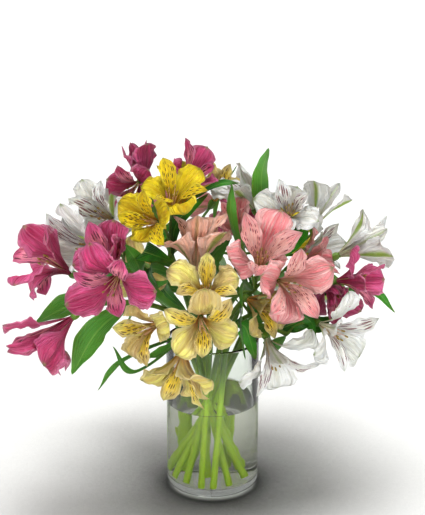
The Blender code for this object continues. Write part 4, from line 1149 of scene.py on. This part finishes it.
def tepal_finish(kind, inner):
    """The finish of a kind's broad or narrow tepals. Along them 0 is the root and 1 the tip, and off
    their middle line 0 is that line and 1 the edges."""
    look = LOOKS[kind]
    finish = Finish(f"{kind}_{'narrow' if inner else 'broad'}_tepal", roughness=0.5, sheen_weight=0.05,
                    subsurface_weight=0.3, subsurface_scale=0.003, subsurface_radius=(1.0, 0.75, 0.6),
                    specular_ior_level=0.35)
    across, along, off_middle, seed, side = maps_of(finish)
    dark_count, pale_count = NARROW_VEINS if inner else BROAD_VEINS
    veins = uneven_veins(finish, across, along, seed, dark_count)
    pale_veins = uneven_veins(finish, across, along, seed + 1, pale_count)
    tone = finish.noise(finish.place(), 90.0, 4.0)
    patch = finish.ease(finish.noise(finish.place(), 46.0, 2.0) + seed * 0.3 - 0.15, 0.42, 0.66)
    opened = finish.ease(along, 0.12, 0.46)
    rim = finish.ease(off_middle, 0.5, 1.0) * opened
    if inner:
        middle = finish.ease(along, 0.16, 0.34) * (1 - finish.ease(along, 0.66, 0.88))
        heart_band_and_midrib_shade = (middle * (1 - rim * 0.6) * 0.9, look.middle)
    else:
        # Broad tepals are darker down the midrib: partly their own colour, partly painted shade in the
        # midrib's groove.
        midrib_colour_and_shade = (1 - finish.ease(off_middle, 0.0, 0.34)) * finish.ease(along, 0.1, 0.4)
        heart_band_and_midrib_shade = (midrib_colour_and_shade * 0.35, look.deep)
    face = finish.coats(finish.mix(opened, look.base, look.face), (patch * 0.55, look.deep), heart_band_and_midrib_shade,
                        (rim * (1 - patch * 0.5) * 0.55, look.edge),
                        (veins * opened * 0.5, look.vein), (pale_veins * opened * 0.4, look.edge))
    if inner:
        where = finish.ease(along, 0.10, 0.22) * (1 - finish.ease(along + off_middle * 0.12, 0.86, 0.98))
        where = where * (1 - finish.ease(off_middle, 0.82, 0.95))
        strokes = dashes(finish, across, along, seed, look.dash_columns, look.dash_rows, look.dash_share)
        face = finish.mix(strokes * where * 0.95, face, look.dash)
    stripe = (1 - finish.ease(off_middle, 0.05, 0.30)) * (1 - finish.ease(along, 0.9, 1.0) * 0.3)
    stripe = stripe * (look.stripe_share * (0.5 if inner else 1.0))
    back = finish.coats(finish.mix(opened, look.base, look.back), (patch * 0.25, look.deep),
                        (veins * 0.4, look.vein), (pale_veins * opened * 0.35, look.edge),
                        (stripe, look.stripe), (rim * 0.4, look.edge))
    point = finish.ease(along, 0.93, 0.995) * (1 - finish.ease(off_middle, 0.1, 0.6))
    point = point * (0.3 if inner else 0.8)
    finish.surface("Base Color", finish.coats(face, (side, back), (point, look.point),
                                              (finish.ease(tone, 0.5, 0.8) * 0.2, look.edge)))
    finish.bump(veins + tone * 1.4 - pale_veins * 0.6, 0.0014)
    return finish


stamen_finish = Finish("stamen", roughness=0.6, subsurface_weight=0.1, subsurface_scale=0.002)
_, stamen_along, _, has_anther, _ = maps_of(stamen_finish)
stamen_grain = stamen_finish.noise(stamen_finish.place(), 900.0)
up_filament = stamen_finish.ease(stamen_along, 0.1, 0.5)
filament_colour = stamen_finish.mix(up_filament, "D9C58C", "E3B9A6")
anther_colour = stamen_finish.mix(stamen_grain, "B49A50", "7C6C3A")
anther_share = stamen_finish.ease(stamen_along, 0.60, 0.66) * has_anther
stamen_finish.surface("Base Color", stamen_finish.mix(anther_share, filament_colour, anther_colour))
tepal_finishes = {kind: [tepal_finish(kind, inner) for inner in (False, True)] for kind in LOOKS}
for flower in sorted(FLOWERS, key=lambda each: each.place.y):
    work = new_work()
    sisters = []
    for number in GROWN_IN_TURN:
        first_bend, first_swing, stretch = aimed(flower, number)

        def rows_for(bend, swing, trim):
            return tepal_rows(flower, number, first_bend + bend, first_swing + swing, stretch, trim)

        choice, rows = clear_blade({flower.name}, rows_for, SOLID_SHEET / 2, sisters)
        if rows:
            shell = blade_shell(past_root(rows), SOLID_SHEET / 2 + SISTER_GAP, SISTER_GAP)
            sisters.append(BVHTree.FromPolygons(*shell))
            bend, swing, trim = choice
            grow_tepal(work, flower, number, first_bend + bend, first_swing + swing, stretch, trim)
    grow_stamens(work, flower)
    kind = flower.name.split("_")[0]
    core_path = [flower_base(flower) + flower_axes(flower)[0] * height for height, _ in CORE_SHAPE]
    tube(work, core_path, [radius for _, radius in CORE_SHAPE], STALK_SIDES, slot=3)
    bloom = add_piece("bloom_" + flower.name, closed(work),
                      [*tepal_finishes[kind], stamen_finish, cane_finish])
    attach(bloom, "root")
    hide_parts(flower.name)

# The leaves are thin lance-shaped blades that grow from the canes, cupped and a little waved, with
# fine ribs along their length, a paler middle line and a paler back.
Leaf = namedtuple("Leaf", "stem root via tip width turn")
LEAF_SHEET = 0.0008
LEAF_SHAPE = ((0, 0.16), (0.15, 0.35), (0.4, 0.95), (0.6, 1.0), (0.8, 0.65), (1, 0.07))
LEAF_ROWS = (0, 0.24, 0.5, 0.78, 1)
LEAF_STEPS = 30
LEAF_ACROSS = 14
LEAF_VIA_PUSH = 0.7
LEAF_CUP = 0.25
LEAF_CUP_CURVE = 1.5
LEAF_WAVE = 0.18
LEAF_WAVE_RATE = 11
LEAF_RIPPLE = 0.05
LEAF_RIPPLE_RATE = 31
LEAF_TIP_START = 0.97
LEAF_TIP_WIDTH = 0.6
LEAF_HALF_SHEET = LEAF_SHEET * 0.35
LEAF_RIBS = 11
LEAF_MARK_STEP = 0.618

# The leaves in the picture: how far up its cane each grows, the column, row and depth of its middle
# and its tip, its width, and the turn of its face. Those of the hidden back are in millimetres.
SHOWN_LEAVES = (
    ("magenta_left", 0.96, (76, 303, -38), (35, 323, -34), 0.023, 70),
    ("magenta_left", 0.90, (92, 328, -52), (65, 370, -52), 0.026, 78),
    ("magenta_left", 0.99, (78, 304, -60), (56, 316, -66), 0.009, 50),
    ("white_top", 0.96, (257, 182, 6), (263, 145, 10), 0.016, 60),
    ("salmon", 0.97, (216, 226, -22), (208, 188, -20), 0.010, 60),
    ("yellow_top", 0.97, (176, 222, -4), (207, 193, 6), 0.011, 50),
    ("magenta_top", 0.97, (213, 196, 20), (240, 196, 14), 0.008, 30),
    ("yellow_top", 0.90, (143, 252, -26), (173, 262, -52), 0.018, 60),
    ("yellow_top", 0.80, (150, 268, -30), (158, 290, -52), 0.012, 55),
    ("salmon", 0.88, (212, 262, -10), (230, 238, -18), 0.016, 60),
    ("salmon", 0.80, (200, 262, -6), (178, 240, -12), 0.014, 40),
    ("salmon", 0.98, (243, 286, -62), (242, 315, -78), 0.013, 80),
    ("buff_right", 0.88, (240, 318, -58), (245, 360, -58), 0.014, 80),
    ("white_right", 0.80, (262, 346, -40), (278, 331, -46), 0.017, -40),
    ("magenta_right", 0.86, (318, 318, -16), (335, 308, -26), 0.015, 60),
    ("white_right", 0.90, (296, 322, -28), (322, 308, -20), 0.018, 60),
    ("salmon", 0.84, (288, 308, -52), (293, 326, -66), 0.009, 70),
    ("magenta_right", 0.98, (368, 290, -8), (395, 313, -8), 0.008, 40),
    ("buff_front", 0.80, (168, 348, -58), (142, 360, -66), 0.012, 60),
    ("buff_front", 0.72, (136, 372, -56), (112, 346, -70), 0.006, 60),
    ("buff_front", 0.66, (124, 360, -46), (97, 391, -52), 0.007, 60),
    ("magenta_top", 0.84, (160, 240, 18), (170, 222, 24), 0.014, 50),
    ("white_left", 0.84, (136, 262, -24), (124, 244, -20), 0.014, 60),
    ("buff_front", 0.88, (160, 300, -50), (148, 284, -60), 0.013, 50),
    ("yellow_top", 0.70, (164, 288, -22), (186, 312, -40), 0.016, 60),
    ("salmon", 0.92, (236, 264, -14), (247, 240, -14), 0.017, 60),
    ("buff_right", 0.76, (250, 324, -34), (262, 354, -44), 0.016, 80),
    ("white_right", 0.72, (256, 326, -20), (246, 296, -24), 0.016, 50),
    ("white_top", 0.86, (296, 240, 20), (308, 216, 16), 0.016, 60),
)
BACK_LEAVES = (
    ("white_back", 0.90, (-90, 60, 176), (-128, 66, 168), 0.018, -50),
    ("white_back", 0.80, (-60, 72, 150), (-78, 84, 118), 0.016, -50),
    ("salmon_back", 0.86, (8, 86, 172), (14, 104, 138), 0.018, -70),
    ("salmon_back", 0.94, (0, 78, 236), (14, 86, 268), 0.012, -70),
    ("magenta_back", 0.88, (92, 62, 172), (124, 66, 150), 0.018, -60),
    ("magenta_back", 0.80, (50, 74, 136), (58, 92, 112), 0.014, -60),
)
LEAVES = []
for leaf_list, placed in ((SHOWN_LEAVES, seen_at), (BACK_LEAVES, millimetres)):
    for stem, root, via, tip, width, turn in leaf_list:
        LEAVES.append(Leaf(stem, root, placed(*via), placed(*tip), width, turn))


def leaf_line(leaf, bend, swing, trim):
    """A leaf's middle line from its root in the cane to its tip, and the direction its face looks in."""
    path = paths[leaf.stem]
    place = leaf.root * (len(path) - 1)
    first = min(int(place), len(path) - 2)
    root = path[first].lerp(path[first + 1], place - first)
    chord = leaf.tip - root
    side = chord.cross(Vector((0, 0, 1))).normalized()
    side = Quaternion(chord, math.radians(leaf.turn)) @ side
    lift = side.cross(chord).normalized()
    push = lift * (bend / 1000) + side * (swing / 1000)
    via = leaf.via + push * LEAF_VIA_PUSH
    tip = root.lerp(leaf.tip, trim) + push
    return smooth_path([root, via, tip], LEAF_STEPS), lift


def leaf_axes(path, lift, index):
    along = step_past(path, index).normalized()
    across = along.cross(lift).normalized()
    return across, across.cross(along)


def leaf_rows(leaf, bend, swing, trim):
    """The few rows of points of one leaf that its clearance is tested with."""
    path, lift = leaf_line(leaf, bend, swing, trim)
    rows = []
    for t in LEAF_ROWS:
        index = round(t * LEAF_STEPS)
        across, normal = leaf_axes(path, lift, index)
        width = leaf.width / 2 * profile(t, LEAF_SHAPE)
        cup = normal * width * LEAF_CUP
        wave = normal * width * LEAF_WAVE * math.sin(LEAF_WAVE_RATE * t)
        rows.append((path[index] - across * width + cup + wave, path[index],
                     path[index] + across * width + cup - wave))
    return rows


def grow_leaf(work, leaf, bend, swing, trim, seed):
    """Adds one leaf as a thin closed sheet."""
    path, lift = leaf_line(leaf, bend, swing, trim)
    rows = []
    shares = []
    for index in range(LEAF_STEPS + 1):
        t = index / LEAF_STEPS
        across, normal = leaf_axes(path, lift, index)
        width = leaf.width / 2 * soft_profile(t, LEAF_SHAPE) * (1 if t < LEAF_TIP_START else LEAF_TIP_WIDTH)
        if index in (0, LEAF_STEPS):
            width = 0

        def shape_at(s):
            wave = LEAF_WAVE * s * math.sin(LEAF_WAVE_RATE * t)
            ripple = LEAF_RIPPLE * s * s * math.sin(LEAF_RIPPLE_RATE * t + seed * 9)
            return width * s, width * (LEAF_CUP * abs(s) ** LEAF_CUP_CURVE - wave) + width * ripple

        half_sheet = LEAF_HALF_SHEET if width else 0
        rows.append(blade_row(path[index], across, normal, LEAF_ACROSS, half_sheet, shape_at))
        shares.append(t)
    loft(work, rows, shares, 0, seed, folded=True)


def fine_lines(finish, across, along, seed, count):
    """Thin lines that run along a sheet and waver a little."""
    waver = finish.noise(finish.vector(across * 4, along * 2.5, seed * 20), 1.0)
    swing = finish.maths("SINE", (across + waver * 0.07) * (math.tau * count))
    return finish.ease(swing, -0.1, 1.0)


leaf_finish = Finish("leaf", roughness=0.36, subsurface_weight=0.12, subsurface_scale=0.002)
across, along, off_middle, seed, side = maps_of(leaf_finish)
ribs = fine_lines(leaf_finish, across, along, seed, LEAF_RIBS)
leaf_tone = leaf_finish.noise(leaf_finish.place(), 45.0, 3.0)
leaf_face = leaf_finish.mix(leaf_finish.ease(leaf_tone, 0.35, 0.65), "0E4408", "3E9A1E")
leaf_face = leaf_finish.coats(leaf_face, (seed * 0.4, "1E6E14"),
                              (leaf_finish.ease(along, 0.8, 1.0) * 0.4, "8AA63C"))
leaf_back = leaf_finish.mix(leaf_tone, "3C7E26", "62A03A")
middle_line = 1 - leaf_finish.ease(off_middle, 0.02, 0.10)
leaf_finish.surface("Base Color", leaf_finish.coats(leaf_face, (side, leaf_back), (ribs * 0.20, "72B43A"),
                                                    (middle_line * 0.35, "9ABE60")))
leaf_finish.bump(ribs + leaf_tone * 0.8, 0.0006)
leaf_works = {}
for index, leaf in enumerate(LEAVES):
    def rows_for(bend, swing, trim):
        return leaf_rows(leaf, bend, swing, trim)

    choice, rows = clear_blade({leaf.stem}, rows_for, LEAF_SHEET / 2)
    if rows:
        work = leaf_works.setdefault(leaf.stem, new_work())
        grow_leaf(work, leaf, *choice, index * LEAF_MARK_STEP % 1)
for name, work in leaf_works.items():
    foliage = add_piece("leaves_" + name, closed(work), [leaf_finish])
    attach(foliage, "root")
    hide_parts("stem_" + name)
